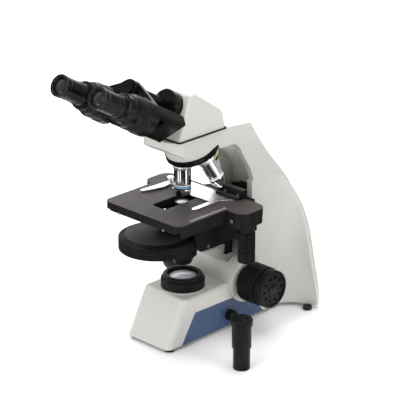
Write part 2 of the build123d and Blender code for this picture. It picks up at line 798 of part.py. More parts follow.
# ============================================================================ STAGE SUPPORT
bracket_bottom = 112.0
bracket_top = 180.0
bracket_half_width = 23.0
with BuildPart() as stage_bracket:
    # carriage that wraps the dovetail rail
    with BuildSketch(Plane.XY.offset(bracket_bottom)):
        with Locations((0, (98 + 122) / 2)):
            Rectangle(2 * bracket_half_width, 24)
        with BuildLine():
            Polyline(
                (-rail_root - flat_gap, 124),
                (-rail_root - flat_gap, rail_front + 9),
                (-rail_flare - flat_gap, rail_front - flat_gap),
                (rail_flare + flat_gap, rail_front - flat_gap),
                (rail_root + flat_gap, rail_front + 9),
                (rail_root + flat_gap, 124),
                close=True,
            )
        make_face(mode=Mode.SUBTRACT)
    extrude(amount=bracket_top - bracket_bottom)
    # block that takes the rack
    with BuildSketch(Plane.XY.offset(bracket_bottom + 4)):
        with Locations((0, (rack_back + 98) / 2)):
            Rectangle(30, 98 - rack_back)
    extrude(amount=bracket_top - bracket_bottom - 4)
    # shelf under the stage, open round the condenser
    with BuildSketch(Plane.XY.offset(174)):
        with Locations((0, 37)):
            RectangleRounded(92, 122, 6)
        Circle(condenser_radius + 5, mode=Mode.SUBTRACT)
        with Locations((0, -16)):
            Rectangle(2 * condenser_radius + 10, 40, mode=Mode.SUBTRACT)
        with Locations((0, 91)):
            Rectangle(rack_width + 1, 8, mode=Mode.SUBTRACT)
    extrude(amount=6)
    # hanging way for the condenser
    with BuildSketch(Plane.XY.offset(122)):
        with Locations((0, 74)):
            Rectangle(26, 8)
    extrude(amount=53)
    # side walls that stiffen the shelf
    for side in (-1, 1):
        with BuildSketch(Plane.XY.offset(134)):
            with Locations((side * 41, 53.5)):
                Rectangle(8, 83)
        extrude(amount=41)
        with BuildSketch(Plane.XY.offset(134)):
            with Locations((side * 31.5, 95)):
                Rectangle(27, 10)
        extrude(amount=41)
    # bearing of the condenser knob's shaft
    with BuildSketch(Plane.YZ.offset(-46)):
        with Locations((condenser_knob_y, condenser_knob_z)):
            Circle(3 + slip)
    extrude(amount=10, mode=Mode.SUBTRACT)
stage_bracket.part.label = "stage_bracket"
export_step(stage_bracket.part, "parts/stage_bracket.step")

plate_bottom = stage_top - stage_plate_thickness
base_plate_half = 60.0
with BuildPart() as stage_base_plate:
    with BuildSketch(Plane.XY.offset(bracket_top)):
        with Locations((0, 3)):
            RectangleRounded(2 * base_plate_half, 98, 4)
        Circle(condenser_radius + 3, mode=Mode.SUBTRACT)
    extrude(amount=plate_bottom - flat_gap - bracket_top)
stage_base_plate.part.label = "stage_base_plate"
export_step(stage_base_plate.part, "parts/stage_base_plate.step")

# ============================================================================ MOVING STAGE
rail_inner = base_plate_half + 0.4
ear_bottom = stage_top - beam_right_thickness
with BuildPart() as stage_plate:
    with BuildSketch(Plane.XY.offset(plate_bottom)):
        with Locations((0, (stage_front + beam_rear) / 2)):
            RectangleRounded(2 * stage_half_width, beam_rear - stage_front, stage_corner)
        # rear beam with rounded ends
        with Locations(((beam_left + beam_right) / 2, (beam_front + beam_rear) / 2)):
            RectangleRounded(beam_right - beam_left, beam_rear - beam_front, 15)
        # opening for the condenser
        with Locations((0, (slot_front + slot_rear) / 2)):
            RectangleRounded(2 * slot_half_width, slot_rear - slot_front, slot_corner, mode=Mode.SUBTRACT)
    extrude(amount=stage_plate_thickness)
    # side rails that hang over the base plate
    for side in (-1, 1):
        with BuildSketch(Plane.XY.offset(stage_top - stage_skirt)):
            with Locations((side * (rail_inner + stage_half_width - 0.6) / 2, -12)):
                RectangleRounded(stage_half_width - 0.6 - rail_inner, 112, 3)
        extrude(amount=stage_skirt - stage_plate_thickness + 1)
    # front skirt
    with BuildSketch(Plane.XY.offset(plate_bottom - 3)):
        with Locations((0, stage_front + 5)):
            Rectangle(2 * stage_half_width - 20, 5)
    extrude(amount=4)
    # deep right end of the beam
    with BuildSketch(Plane.XY.offset(stage_top - beam_right_thickness)):
        with Locations(((rail_inner + beam_right - 0.6) / 2, (beam_front + beam_rear) / 2)):
            RectangleRounded(beam_right - 0.6 - rail_inner, beam_rear - beam_front - 1.2, 14.4)
    extrude(amount=beam_right_thickness - 2)
    # boss and bore of the coaxial knob shafts
    with BuildSketch(Plane.XY.offset(ear_bottom - 12)):
        with Locations((knob_axis_x, knob_axis_y)):
            Circle(10.5)
    extrude(amount=12.5)
    with BuildSketch(Plane.XY.offset(ear_bottom - 12)):
        with Locations((knob_axis_x, knob_axis_y)):
            Circle(5 + slip)
    extrude(amount=24, mode=Mode.SUBTRACT)
stage_plate.part.label = "stage_plate"
export_step(stage_plate.part, "parts/stage_plate.step")

upper_knob_top = ear_bottom - 12.4
upper_knob_length = 26.0
lower_knob_length = 16.0


def fluted_knob(top, length, bore, count):
    """A knob hanging on the coaxial stage shafts, with grip flutes."""
    with BuildPart() as knob:
        with BuildSketch(Plane.XY.offset(top - length)):
            with Locations((knob_axis_x, knob_axis_y)):
                Circle(stage_knob_radius)
        extrude(amount=length)
        fillet(knob.edges().filter_by(GeomType.CIRCLE), radius=1.0)
        with BuildSketch(Plane.XY.offset(top - length + 2)):
            with Locations((knob_axis_x, knob_axis_y)):
                with PolarLocations(stage_knob_radius + 0.4, count):
                    Circle(1.1)
        extrude(amount=length - 4, mode=Mode.SUBTRACT)
        if bore:
            with BuildSketch(Plane.XY.offset(top - length)):
                with Locations((knob_axis_x, knob_axis_y)):
                    Circle(bore)
            extrude(amount=length, mode=Mode.SUBTRACT)
    return knob.part


with BuildPart() as stage_y_knob:
    add(fluted_knob(upper_knob_top, upper_knob_length, 2.5 + slip, 20))
    with BuildSketch(Plane.XY.offset(upper_knob_top)):
        with Locations((knob_axis_x, knob_axis_y)):
            Circle(5)
            Circle(2.5 + slip, mode=Mode.SUBTRACT)
    extrude(amount=18)
stage_y_knob.part.label = "stage_y_knob"
export_step(stage_y_knob.part, "parts/stage_y_knob.step")

lower_knob_top = upper_knob_top - upper_knob_length - 0.5
with BuildPart() as stage_x_knob:
    add(fluted_knob(lower_knob_top, lower_knob_length, 0, 20))
    with BuildSketch(Plane.XY.offset(lower_knob_top - 1)):
        with Locations((knob_axis_x, knob_axis_y)):
            Circle(2.5)
    extrude(amount=upper_knob_length + 21)
stage_x_knob.part.label = "stage_x_knob"
export_step(stage_x_knob.part, "parts/stage_x_knob.step")

# ============================================================================ SLIDE HOLDER
holder_bottom = stage_top + 0.3
holder_thickness = 1.6
holder_top = holder_bottom + holder_thickness
slide_back = slide_glass_width / 2 + 1.0
finger_inner = slide_glass_length / 2 - 1.0
spring_pivot_x = -50.0
spring_pivot_y = 27.0
with BuildPart() as slide_holder:
    with BuildSketch(Plane.XY.offset(holder_bottom)):
        with BuildLine():
            Polyline(
                (-58, 33),
                (-58, 50),
                (56, 50),
                (56, 40),
                (finger_inner + 8, 26),
                (finger_inner + 8, -19),
                (finger_inner + 4, -24),
                (finger_inner, -19),
                (finger_inner, slide_back),
                (-finger_inner + 2, slide_back),
                (-finger_inner + 2, 33),
                close=True,
            )
        make_face()
    extrude(amount=holder_thickness)
    # seat of the spring finger's post
    with BuildSketch(Plane.XY.offset(holder_bottom)):
        with Locations((spring_pivot_x, spring_pivot_y)):
            Circle(7)
            Circle(2.0 + slip, mode=Mode.SUBTRACT)
    extrude(amount=holder_thickness)
    with BuildSketch(Plane.XY.offset(holder_bottom)):
        with Locations((spring_pivot_x, spring_pivot_y)):
            Circle(2.0 + slip)
    extrude(amount=holder_thickness, mode=Mode.SUBTRACT)
slide_holder.part.label = "slide_holder"
export_step(slide_holder.part, "parts/slide_holder.step")

# carriage that rides along the rear beam and carries the holder
with BuildPart() as holder_carriage:
    with BuildSketch(Plane.YZ.offset(18)):
        with BuildLine():
            Polyline(
                (50.4, holder_bottom),
                (50.4, 205.5),
                (53, 209.5),
                (61.5, 209.5),
                (61.5, 189),
                (beam_rear + 0.4, 189),
                (beam_rear + 0.4, holder_bottom),
                close=True,
            )
        make_face()
    extrude(amount=44)
    with BuildSketch(Plane.XY.offset(holder_top)):
        with Locations((40, 47.5)):
            Rectangle(40, 8)
    extrude(amount=2.2)
holder_carriage.part.label = "holder_carriage"
export_step(holder_carriage.part, "parts/holder_carriage.step")

with BuildPart() as spring_finger:
    with BuildSketch(Plane.XY.offset(holder_top + 0.15)):
        with BuildLine():
            Polyline(
                (-52.5, 31),
                (-47.5, 31),
                (-44.5, 22),
                (-43.0, 8),
                (-47.0, -8),
                (-53.0, -24),
                (-57.0, -25),
                (-58.5, -21),
                (-56.0, 0),
                (-55.0, 22),
                close=True,
            )
        make_face()
    extrude(amount=1.4)
    with BuildSketch(Plane.XY.offset(holder_top + 1.5)):
        with Locations((spring_pivot_x, spring_pivot_y)):
            Circle(5.2)
    extrude(amount=7.5)
    fillet(spring_finger.edges().group_by(Axis.Z)[-1], radius=0.8)
    with BuildSketch(Plane.XY.offset(holder_bottom)):
        with Locations((spring_pivot_x, spring_pivot_y)):
            Circle(2.0)
    extrude(amount=4)
spring_finger.part.label = "spring_finger"
export_step(spring_finger.part, "parts/spring_finger.step")

# =============================================================================== CONDENSER
turret_top = turret_bottom + turret_thickness
cover_bottom = turret_top + flat_gap
annulus_reach = sqrt(turret_x ** 2 + turret_y ** 2)
turret_spindle = 4.0
link_thickness = 5.5

with BuildPart() as condenser_housing:
    # wide cover over the turret
    with BuildSketch(Plane.XY.offset(cover_bottom)):
        with Locations((turret_x, turret_y)):
            Circle(turret_radius)
    extrude(amount=condenser_cover_thickness)
    chamfer(condenser_housing.edges().group_by(Axis.Z)[-1], length=4, length2=8)
    # cylinder on the optical axis
    with BuildSketch(Plane.XY.offset(cover_bottom)):
        Circle(condenser_radius)
    extrude(amount=condenser_shoulder - cover_bottom)
    with BuildSketch(Plane.XY.offset(condenser_shoulder)):
        Circle(condenser_nose_radius + 5)
    extrude(amount=8, taper=20)
    with BuildSketch(Plane.XY.offset(condenser_shoulder)):
        Circle(condenser_nose_radius)
    extrude(amount=condenser_top - condenser_shoulder)
    # back wall that joins the cover to the lower link
    with BuildSketch(Plane.XY.offset(turret_bottom - flat_gap)):
        with Locations((4, 23)):
            Rectangle(30, 8)
    extrude(amount=cover_bottom - turret_bottom + 2)
    # spindle of the turret
    with BuildSketch(Plane.XY.offset(turret_bottom - flat_gap)):
        with Locations((turret_x, turret_y)):
            Circle(turret_spindle)
    extrude(amount=cover_bottom - turret_bottom + 2)
    # light path
    with BuildSketch(Plane.XY.offset(cover_bottom - 0.5)):
        Circle(8)
    extrude(amount=condenser_top - cover_bottom + 2, mode=Mode.SUBTRACT)
    with BuildSketch(Plane.XY.offset(condenser_top - 6)):
        Circle(condenser_nose_radius - 1.5)
    extrude(amount=8, mode=Mode.SUBTRACT)
condenser_housing.part.label = "condenser_housing"
export_step(condenser_housing.part, "parts/condenser_housing.step")

with BuildPart() as condenser_lens:
    with BuildSketch(Plane.XZ):
        with BuildLine():
            lens_flat = Line((0, condenser_top - 6), (condenser_nose_radius - 1.6, condenser_top - 6))
            lens_edge = Line(lens_flat @ 1, (condenser_nose_radius - 1.6, condenser_top - 1.5))
            lens_dome = dome((condenser_nose_radius - 1.6, condenser_top - 1.5), 1.5)
            Line(lens_dome @ 1, lens_flat @ 0)
        make_face()
    revolve(axis=Axis.Z)
condenser_lens.part.label = "condenser_lens"
export_step(condenser_lens.part, "parts/condenser_lens.step")

turn_to_axis = degrees(asin(-turret_y / annulus_reach))
with BuildPart() as phase_turret:
    with BuildSketch(Plane.XY.offset(turret_bottom)):
        with Locations((turret_x, turret_y)):
            Circle(turret_radius)
            Circle(turret_spindle + slip, mode=Mode.SUBTRACT)
            with PolarLocations(annulus_reach, 5, start_angle=turn_to_axis):
                Circle(7, mode=Mode.SUBTRACT)
    extrude(amount=turret_thickness)
    # knurled rim
    with BuildSketch(Plane.XY.offset(turret_bottom + 1.5)):
        with Locations((turret_x, turret_y)):
            with PolarLocations(turret_radius + 0.6, 90):
                Circle(1.1)
    extrude(amount=turret_thickness - 3, mode=Mode.SUBTRACT)
phase_turret.part.label = "phase_turret"
export_step(phase_turret.part, "parts/phase_turret.step")

# lower link with the aperture iris housing and its cone
link_bottom = turret_bottom - flat_gap - link_thickness
with BuildPart() as condenser_lower:
    with BuildSketch(Plane.XY.offset(link_bottom)):
        Circle(24)
        with Locations((turret_x, turret_y)):
            Circle(12)
        with BuildLine():
            Polyline(
                (turret_x - 11, turret_y - 3),
                (turret_x + 11, turret_y - 3),
                (20, -12),
                (19, 27),
                (-11, 27),
                (-23, -6),
                close=True,
            )
        make_face()
    extrude(amount=link_thickness)
    # iris housing
    with BuildSketch(Plane.XY.offset(link_bottom - 5)):
        Circle(18.5)
    extrude(amount=5.5)
    # cone
    with BuildSketch(Plane.XY.offset(cone_bottom)):
        Circle(12)
    with BuildSketch(Plane.XY.offset(link_bottom - 13)):
        Circle(17)
    loft()
    with BuildSketch(Plane.XY.offset(cone_bottom + 2)):
        Circle(9)
    extrude(amount=20)
    with BuildSketch(Plane.XY.offset(cone_bottom)):
        Circle(7)
    extrude(amount=40, mode=Mode.SUBTRACT)
condenser_lower.part.label = "condenser_lower"
export_step(condenser_lower.part, "parts/condenser_lower.step")

lever_bottom = link_bottom - 12.7
with BuildPart() as aperture_lever:
    with BuildSketch(Plane.XY.offset(lever_bottom)):
        Circle(19.5)
        Circle(9 + slip, mode=Mode.SUBTRACT)
    extrude(amount=7.4)
    lever_angle = -150
    with BuildSketch(Plane.XY.offset(lever_bottom + 2)):
        with PolarLocations(26, 1, start_angle=lever_angle):
            RectangleRounded(18, 5, 2)
    extrude(amount=3)
aperture_lever.part.label = "aperture_lever"
export_step(aperture_lever.part, "parts/aperture_lever.step")

carrier_bottom = 156.0
carrier_height = 12.0
with BuildPart() as condenser_bracket:
    with BuildSketch(Plane.XY.offset(carrier_bottom)):
        Circle(condenser_radius + 4.5)
        with Locations((0, 47)):
            Rectangle(36, 46)
        Circle(condenser_radius + press, mode=Mode.SUBTRACT)
        # way round the hanging plate
        with Locations((0, 74)):
            Rectangle(26 + 0.4, 8 + 0.4, mode=Mode.SUBTRACT)
    extrude(amount=carrier_height)
    # guide block down the way
    with BuildSketch(Plane.XY.offset(carrier_bottom - 18)):
        with Locations((0, 62)):
            Rectangle(36, 15)
    extrude(amount=18)
    for side in (-1, 1):
        with BuildSketch(Plane.XY.offset(carrier_bottom - 18)):
            with Locations((side * 16.1, 73.5)):
                Rectangle(5, 9)
        extrude(amount=18 + carrier_height)
condenser_bracket.part.label = "condenser_bracket"
export_step(condenser_bracket.part, "parts/condenser_bracket.step")

# centring and clamp screws, pointing at the condenser from three sides
with BuildPart() as condenser_screws:
    for angle in (-35, 215):
        screw_plane = Plane(
            origin=(
                (condenser_radius + press) * cos(radians(angle)),
                (condenser_radius + press) * sin(radians(angle)),
                carrier_bottom + carrier_height / 2,
            ),
            z_dir=(cos(radians(angle)), sin(radians(angle)), 0),
        )
        with BuildSketch(screw_plane.offset(4.6)):
            Circle(3.6)
        extrude(amount=7)
condenser_screws.part.label = "condenser_screws"
export_step(condenser_screws.part, "parts/condenser_screws.step")

with BuildPart() as condenser_knob:
    with BuildSketch(Plane.YZ.offset(-46)):
        with Locations((condenser_knob_y, condenser_knob_z)):
            Circle(10)
    extrude(amount=-13)
    fillet(condenser_knob.edges().filter_by(GeomType.CIRCLE), radius=0.8)
    with BuildSketch(Plane.YZ.offset(-57)):
        with Locations((condenser_knob_y, condenser_knob_z)):
            with PolarLocations(10.4, 18):
                Circle(1.0)
    extrude(amount=9, mode=Mode.SUBTRACT)
    with BuildSketch(Plane.YZ.offset(-46.5)):
        with Locations((condenser_knob_y, condenser_knob_z)):
            Circle(3)
    extrude(amount=25)
condenser_knob.part.label = "condenser_knob"
export_step(condenser_knob.part, "parts/condenser_knob.step")

# =============================================================================== NOSEPIECE
with BuildPart() as nosepiece_base:
    with BuildSketch(nosepiece_plane(nosepiece_height - 4)):
        Circle(29)
        with Locations((0, -seat_circle)):
            Circle(thread_radius + 0.3, mode=Mode.SUBTRACT)
    extrude(amount=4 + free_gap)
    with BuildSketch(nosepiece_plane(0)):
        Circle(5)
    extrude(amount=nosepiece_height - 2)
nosepiece_base.part.label = "nosepiece_base"
export_step(nosepiece_base.part, "parts/nosepiece_base.step")

slope = tan(radians(nosepiece_tilt))
with BuildPart() as nosepiece_turret:
    axis_plane = nosepiece_plane(0)
    profile_plane = Plane(origin=axis_plane.origin, x_dir=(1, 0, 0), z_dir=axis_plane.y_dir)
    with BuildSketch(profile_plane):
        with BuildLine():
            Polyline(
                (0, seat_circle * slope),
                (nosepiece_radius - 3, seat_circle * slope - (nosepiece_radius - 3) * slope),
                (nosepiece_radius - 1, -5.6),
                (nosepiece_radius, -7),
                (nosepiece_radius, -nosepiece_height + 0.8),
                (nosepiece_radius - 0.8, -nosepiece_height),
                (29.6, -nosepiece_height),
                (29.6, -nosepiece_height + 4.6),
                (16, -nosepiece_height + 4.6),
                (8, -2),
                (5.0 + slip, -2),
                (5.0 + slip, 0.5),
                (0, 0.5),
                close=True,
            )
        make_face()
    revolve(axis=Axis(axis_plane.origin, axis_plane.z_dir))
    for index in range(4):
        seat = objective_plane(index)
        with BuildSketch(seat):
            Circle(objective_radius - 0.4)
        extrude(amount=-5)
    for index in range(4):
        seat = objective_plane(index)
        with BuildSketch(seat):
            Circle(thread_radius + press)
        extrude(amount=-30, mode=Mode.SUBTRACT)
nosepiece_turret.part.label = "nosepiece_turret"
export_step(nosepiece_turret.part, "parts/nosepiece_turret.step")


def make_objective(index, length, barrel, tip_radius, taper_length):
    """One objective: thread, knurled shoulder, barrel, taper and front lens cell."""
    seat = objective_plane(index)
    section = Plane(origin=seat.origin, x_dir=seat.x_dir, z_dir=-seat.y_dir)
    with BuildPart() as objective:
        with BuildSketch(section):
            with BuildLine():
                Polyline(
                    (0, -4.5),
                    (thread_radius, -4.5),
                    (thread_radius, 0),
                    (objective_radius, 0),
                    (objective_radius, 5),
                    (barrel, 5.6),
                    (barrel, length - taper_length - 4),
                    (barrel - 2.2, length - taper_length),
                    (tip_radius + 1.2, length - 1.2),
                    (tip_radius, length),
                    (2.2, length),
                    (1.6, length - 0.6),
                    (0, length - 0.6),
                    close=True,
                )
            make_face()
        revolve(axis=Axis(seat.origin, seat.z_dir))
    return objective


objective_sizes = {
    "objective_40x": (0, 44.4, 11.8, 4.6, 7.0),
    "objective_100x": (1, 44.6, 11.2, 4.2, 8.0),
    "objective_10x": (2, 32.0, 11.4, 5.2, 5.0),
    "objective_4x": (3, 27.0, 11.4, 7.0, 3.0),
}
for name, values in objective_sizes.items():
    objective = make_objective(*values)
    objective.part.label = name
    export_step(objective.part, f"parts/{name}.step")

# ==================================================================================== HEAD
head_bottom = seat_z + 1.2
front_low_y = -(head_front - head_bottom * sin(radians(tube_tilt))) / cos(radians(tube_tilt))
front_high_z = seat_z + 54
front_high_y = -(head_front - front_high_z * sin(radians(tube_tilt))) / cos(radians(tube_tilt))
with BuildPart() as head_housing:
    with BuildSketch(Plane.YZ.offset(-head_half_width)):
        with BuildLine():
            face = Line((front_low_y, head_bottom), (front_high_y, front_high_z))
            brow = RadiusArc(face @ 1, (4, front_high_z), 10)
            roof = Line(brow @ 1, (38, seat_z + 30))
            nape = RadiusArc(roof @ 1, (head_rear, seat_z + 18), 14)
            tail_line = Line(nape @ 1, (head_rear, head_bottom))
            Line(tail_line @ 1, face @ 0)
        make_face()
    extrude(amount=2 * head_half_width)
    # sides lean inwards towards the roof
    for side in (-1, 1):
        with BuildSketch(Plane.XZ.offset(80)):
            with BuildLine():
                lean = 80 * tan(radians(head_side_draft))
                Polyline(
                    (side * head_half_width, head_bottom),
                    (side * (head_half_width - lean), head_bottom + 80),
                    (side * (head_half_width + 30), head_bottom + 80),
                    (side * (head_half_width + 30), head_bottom),
                    close=True,
                )
            make_face()
        extrude(amount=-180, mode=Mode.SUBTRACT)
    upper_edges = head_housing.edges().filter_by(lambda e: e.center().Z > head_bottom + 6)
    side_edges = upper_edges.filter_by(lambda e: abs(e.center().X) > 20)
    fillet(side_edges, radius=4)
    # cavity for the prism, open below and in front
    with BuildSketch(Plane.XY.offset(head_bottom)):
        Circle(16)
    extrude(amount=30, mode=Mode.SUBTRACT)
    with BuildSketch(tube_plane(head_front - 40)):
        with Locations((0, pivot_height)):
            Circle(9)
    extrude(amount=60, mode=Mode.SUBTRACT)
head_housing.part.label = "head_housing"
export_step(head_housing.part, "parts/head_housing.step")

with BuildPart() as head_dovetail:
    with BuildSketch(Plane.XY.offset(seat_z - dovetail_depth)):
        Circle(dovetail_radius)
        Circle(14, mode=Mode.SUBTRACT)
    extrude(amount=head_bottom - seat_z + dovetail_depth)
    groove_plane = Plane.XY.offset(seat_z - dovetail_depth + 2)
    with BuildSketch(groove_plane):
        Circle(dovetail_radius + 1)
        Circle(dovetail_radius - 1.5, mode=Mode.SUBTRACT)
    extrude(amount=2.2, mode=Mode.SUBTRACT)
head_dovetail.part.label = "head_dovetail"
export_step(head_dovetail.part, "parts/head_dovetail.step")

with BuildPart() as head_prism:
    with BuildSketch(Plane.YZ.offset(-9)):
        with BuildLine():
            Polyline(
                (-11, head_bottom + 8),
                (11, head_bottom + 8),
                (11, head_bottom + 24),
                (-4, head_bottom + 29),
                close=True,
            )
        make_face()
    extrude(amount=18)
head_prism.part.label = "head_prism"
export_step(head_prism.part, "parts/head_prism.step")

with BuildPart() as head_lock_screw:
    with BuildSketch(Plane.YZ.offset(-dovetail_radius - 0.3)):
        with Locations((0, seat_z - 3.5)):
            Circle(lock_screw_radius)
    extrude(amount=-(arm_half_width - dovetail_radius + 2))
    with BuildSketch(Plane.YZ.offset(-arm_half_width - 0.6)):
        with Locations((0, seat_z - 3.5)):
            Circle(3.4)
    extrude(amount=-9)
    chamfer(head_lock_screw.edges().group_by(Axis.X)[0], length=0.6)
head_lock_screw.part.label = "head_lock_screw"
export_step(head_lock_screw.part, "parts/head_lock_screw.step")

# ========================================================================== BINOCULAR TUBES
barrel_radius = 6.5
disc_radius = 20.0
disc_end = head_front + 16.0
lug_thickness = 6.0
lug_radius = 12.0
lug_clearance = 1.4          # round the other arm's lug, which widens towards its box
barrel_end = arm_box_end + 2 * lug_thickness + 0.9
close_angle = 14.5           # how far each arm swings in and out from rest
open_angle = 4.5
with BuildPart() as pivot_barrel:
    with BuildSketch(tube_plane(head_front + 0.05)):
        with Locations((0, pivot_height)):
            Circle(disc_radius)
    extrude(amount=disc_end - head_front)
    with BuildSketch(tube_plane(disc_end)):
        with Locations((0, pivot_height)):
            Circle(barrel_radius)
    extrude(amount=barrel_end - disc_end)
    with BuildSketch(tube_plane(barrel_end)):
        with Locations((0, pivot_height)):
            Circle(9)
    extrude(amount=2.5)
pivot_barrel.part.label = "pivot_barrel"
export_step(pivot_barrel.part, "parts/pivot_barrel.step")

box_x = 17.5
box_height = eye_height + 11.7
box_top = pivot_height - 8.7
plate_end = arm_box_end + lug_thickness
collar_radius_at_eye = 24.5
for side, name in ((1, "prism_arm_right"), (-1, "prism_arm_left")):
    below = 60 * tan(radians(close_angle + 1))
    above = 40 * tan(radians(open_angle + 1))
    # the space of the other arm at the narrowest and widest settings
    other_arm = [
        (side * 0.3, pivot_height),
        (side * (0.3 + below), pivot_height - 60),
        (-side * 80, pivot_height - 60),
        (-side * 80, pivot_height + 40),
        (side * (0.3 + above), pivot_height + 40),
    ]
    with BuildPart() as prism_arm:
        with BuildSketch(tube_plane(disc_end + 1.0)):
            with Locations(Location((side * box_x, box_height), 45)):
                RectangleRounded(arm_box_side, arm_box_side, 2.5)
            with Locations((0, box_top + 40)):
                Rectangle(200, 80, mode=Mode.SUBTRACT)
            with BuildLine():
                Polyline(*other_arm, close=True)
            make_face(mode=Mode.SUBTRACT)
            with Locations((0, pivot_height)):
                Circle(barrel_radius + free_gap, mode=Mode.SUBTRACT)
        extrude(amount=arm_box_end - disc_end - 1)
        # front plate from the tube towards the barrel
        with BuildSketch(tube_plane(arm_box_end - 0.5)):
            with Locations((side * 6, pivot_height)):
                Circle(lug_radius - 2)
            with Locations((side * eye_half_spacing, eye_height)):
                Circle(collar_radius_at_eye)
            make_hull()
            with BuildLine():
                Polyline(*other_arm, close=True)
            make_face(mode=Mode.SUBTRACT)
            with Locations((0, pivot_height)):
                Circle(lug_radius + lug_clearance, mode=Mode.SUBTRACT)
        extrude(amount=lug_thickness + 0.5)
        # lug round the barrel: the right one lies behind the left one
        lug_start = arm_box_end if side > 0 else plate_end + free_gap
        with BuildSketch(tube_plane(lug_start)):
            with Locations((0, pivot_height)):
                Circle(lug_radius)
            with Locations((side * 20, pivot_height - 8)):
                Circle(lug_radius / 2)
            make_hull()
            with Locations((0, pivot_height)):
                Circle(barrel_radius + slip, mode=Mode.SUBTRACT)
            with Locations((side * eye_half_spacing, eye_height)):
                Circle(collar_radius_at_eye + press, mode=Mode.SUBTRACT)
        extrude(amount=lug_thickness)
        if side < 0:
            # step that carries the front lug
            with BuildSketch(tube_plane(arm_box_end)):
                with Locations((side * 17.5, pivot_height - 5)):
                    Rectangle(7, 9)
                with Locations((side * eye_half_spacing, eye_height)):
                    Circle(collar_radius_at_eye + press, mode=Mode.SUBTRACT)
            extrude(amount=lug_start - arm_box_end + 1)
        # light path
        with BuildSketch(tube_plane(arm_box_end - 30)):
            with Locations((side * eye_half_spacing, eye_height)):
                Circle(10)
        extrude(amount=40, mode=Mode.SUBTRACT)
    prism_arm.part.label = name
    export_step(prism_arm.part, f"parts/{name}.step")

sleeve_gap = 0.03
tube_start = plate_end
grip_end = tube_start + 34.5
diopter_start = grip_end + 0.4
diopter_end = diopter_start + 9.4
tube_end = diopter_end + 4.2
tube_profile = [
    (collar_radius_at_eye - 0.6, tube_start),
    (collar_radius_at_eye, tube_start + 0.6),
    (collar_radius_at_eye, tube_start + 7),
    (collar_radius_at_eye - 1, tube_start + 8),
    (collar_radius_at_eye - 1, tube_start + 9),
    (23.2, tube_start + 10),
    (23.2, grip_end - 8),
    (22.4, grip_end - 7),
    (21.0, grip_end - 1),
    (20.0, grip_end),
]
diopter_radius = 19.3
neck_radius = 15.0
for side, name in ((1, "eyetube_right"), (-1, "eyetube_left")):
    plane = tube_plane(0)
    centre = plane.from_local_coords((side * eye_half_spacing, eye_height, 0))
    section = Plane(origin=centre, x_dir=(1, 0, 0), z_dir=-plane.y_dir)
    with BuildPart() as eyetube:
        with BuildSketch(section):
            with BuildLine():
                bore = eyepiece_sleeve_radius + sleeve_gap
                if side > 0:
                    rest = [
                        (diopter_radius, diopter_start),
                        (diopter_radius, diopter_end),
                        (17, diopter_end + 1),
                        (16.4, tube_end),
                    ]
                else:
                    rest = [(neck_radius, grip_end), (neck_radius, tube_end)]
                Polyline((bore, tube_start), *tube_profile, *rest, (bore, tube_end), close=True)
            make_face()
        revolve(axis=Axis(centre, plane.z_dir))
    eyetube.part.label = name
    export_step(eyetube.part, f"parts/{name}.step")

with BuildPart() as diopter_ring:
    with BuildSketch(tube_plane(diopter_start)):
        with Locations((-eye_half_spacing, eye_height)):
            Circle(diopter_radius)
            Circle(neck_radius + slip, mode=Mode.SUBTRACT)
            with PolarLocations(diopter_radius + 0.5, 36):
                Circle(0.9, mode=Mode.SUBTRACT)
    extrude(amount=diopter_end - diopter_start)
diopter_ring.part.label = "diopter_ring"
export_step(diopter_ring.part, "parts/diopter_ring.step")

eyepiece_start = tube_end + 0.3
eyepiece_radius = 14.5
for side, name in ((1, "eyepiece_right"), (-1, "eyepiece_left")):
    plane = tube_plane(0)
    centre = plane.from_local_coords((side * eye_half_spacing, eye_height, 0))
    section = Plane(origin=centre, x_dir=(1, 0, 0), z_dir=-plane.y_dir)
    with BuildPart() as eyepiece:
        with BuildSketch(section):
            with BuildLine():
                Polyline(
                    (0, eyepiece_start - 24),
                    (9.5, eyepiece_start - 24),
                    (9.5, eyepiece_start - 26),
                    (eyepiece_sleeve_radius, eyepiece_start - 26),
                    (eyepiece_sleeve_radius, eyepiece_start),
                    (eyepiece_radius + 0.6, eyepiece_start),
                    (eyepiece_radius + 1.0, eyepiece_start + 1),
                    (eyepiece_radius + 1.0, eyepiece_start + 6),
                    (eyepiece_radius, eyepiece_start + 7),
                    (eyepiece_radius, eyepiece_front - 10),
                    (eyepiece_radius + 0.5, eyepiece_front - 8.5),
                    (eyepiece_radius + 0.5, eyepiece_front - 1.2),
                    (eyepiece_radius - 0.5, eyepiece_front),
                    (eyepiece_radius - 2.0, eyepiece_front),
                    (10.2, eyepiece_front - 4),
                    (9.8, eyepiece_front - 5),
                    (0, eyepiece_front - 3.4),
                    close=True,
                )
            make_face()
        revolve(axis=Axis(centre, plane.z_dir))
    eyepiece.part.label = name
    export_step(eyepiece.part, f"parts/{name}.step")

# ====================================================================== CENTRING TELESCOPE
telescope_plane = Plane(origin=(telescope_x, telescope_y, 0), x_dir=(1, 0, 0), z_dir=(0, -1, 0))
telescope_axis = Axis((telescope_x, telescope_y, 0), (0, 0, 1))
with BuildPart() as telescope_tube:
    with BuildSketch(telescope_plane):
        with BuildLine():
            Polyline(
                (8.6, 0),
                (10.9, 0),
                (11.6, 0.8),
                (11.6, 30),
                (12.9, 31),
                (13.25, 32),
                (13.25, 63),
                (10.0 + slip, 63),
                (10.0 + slip, 36),
                (8.6, 34),
                close=True,
            )
        make_face()
    revolve(axis=telescope_axis)
telescope_tube.part.label = "telescope_tube"
export_step(telescope_tube.part, "parts/telescope_tube.step")

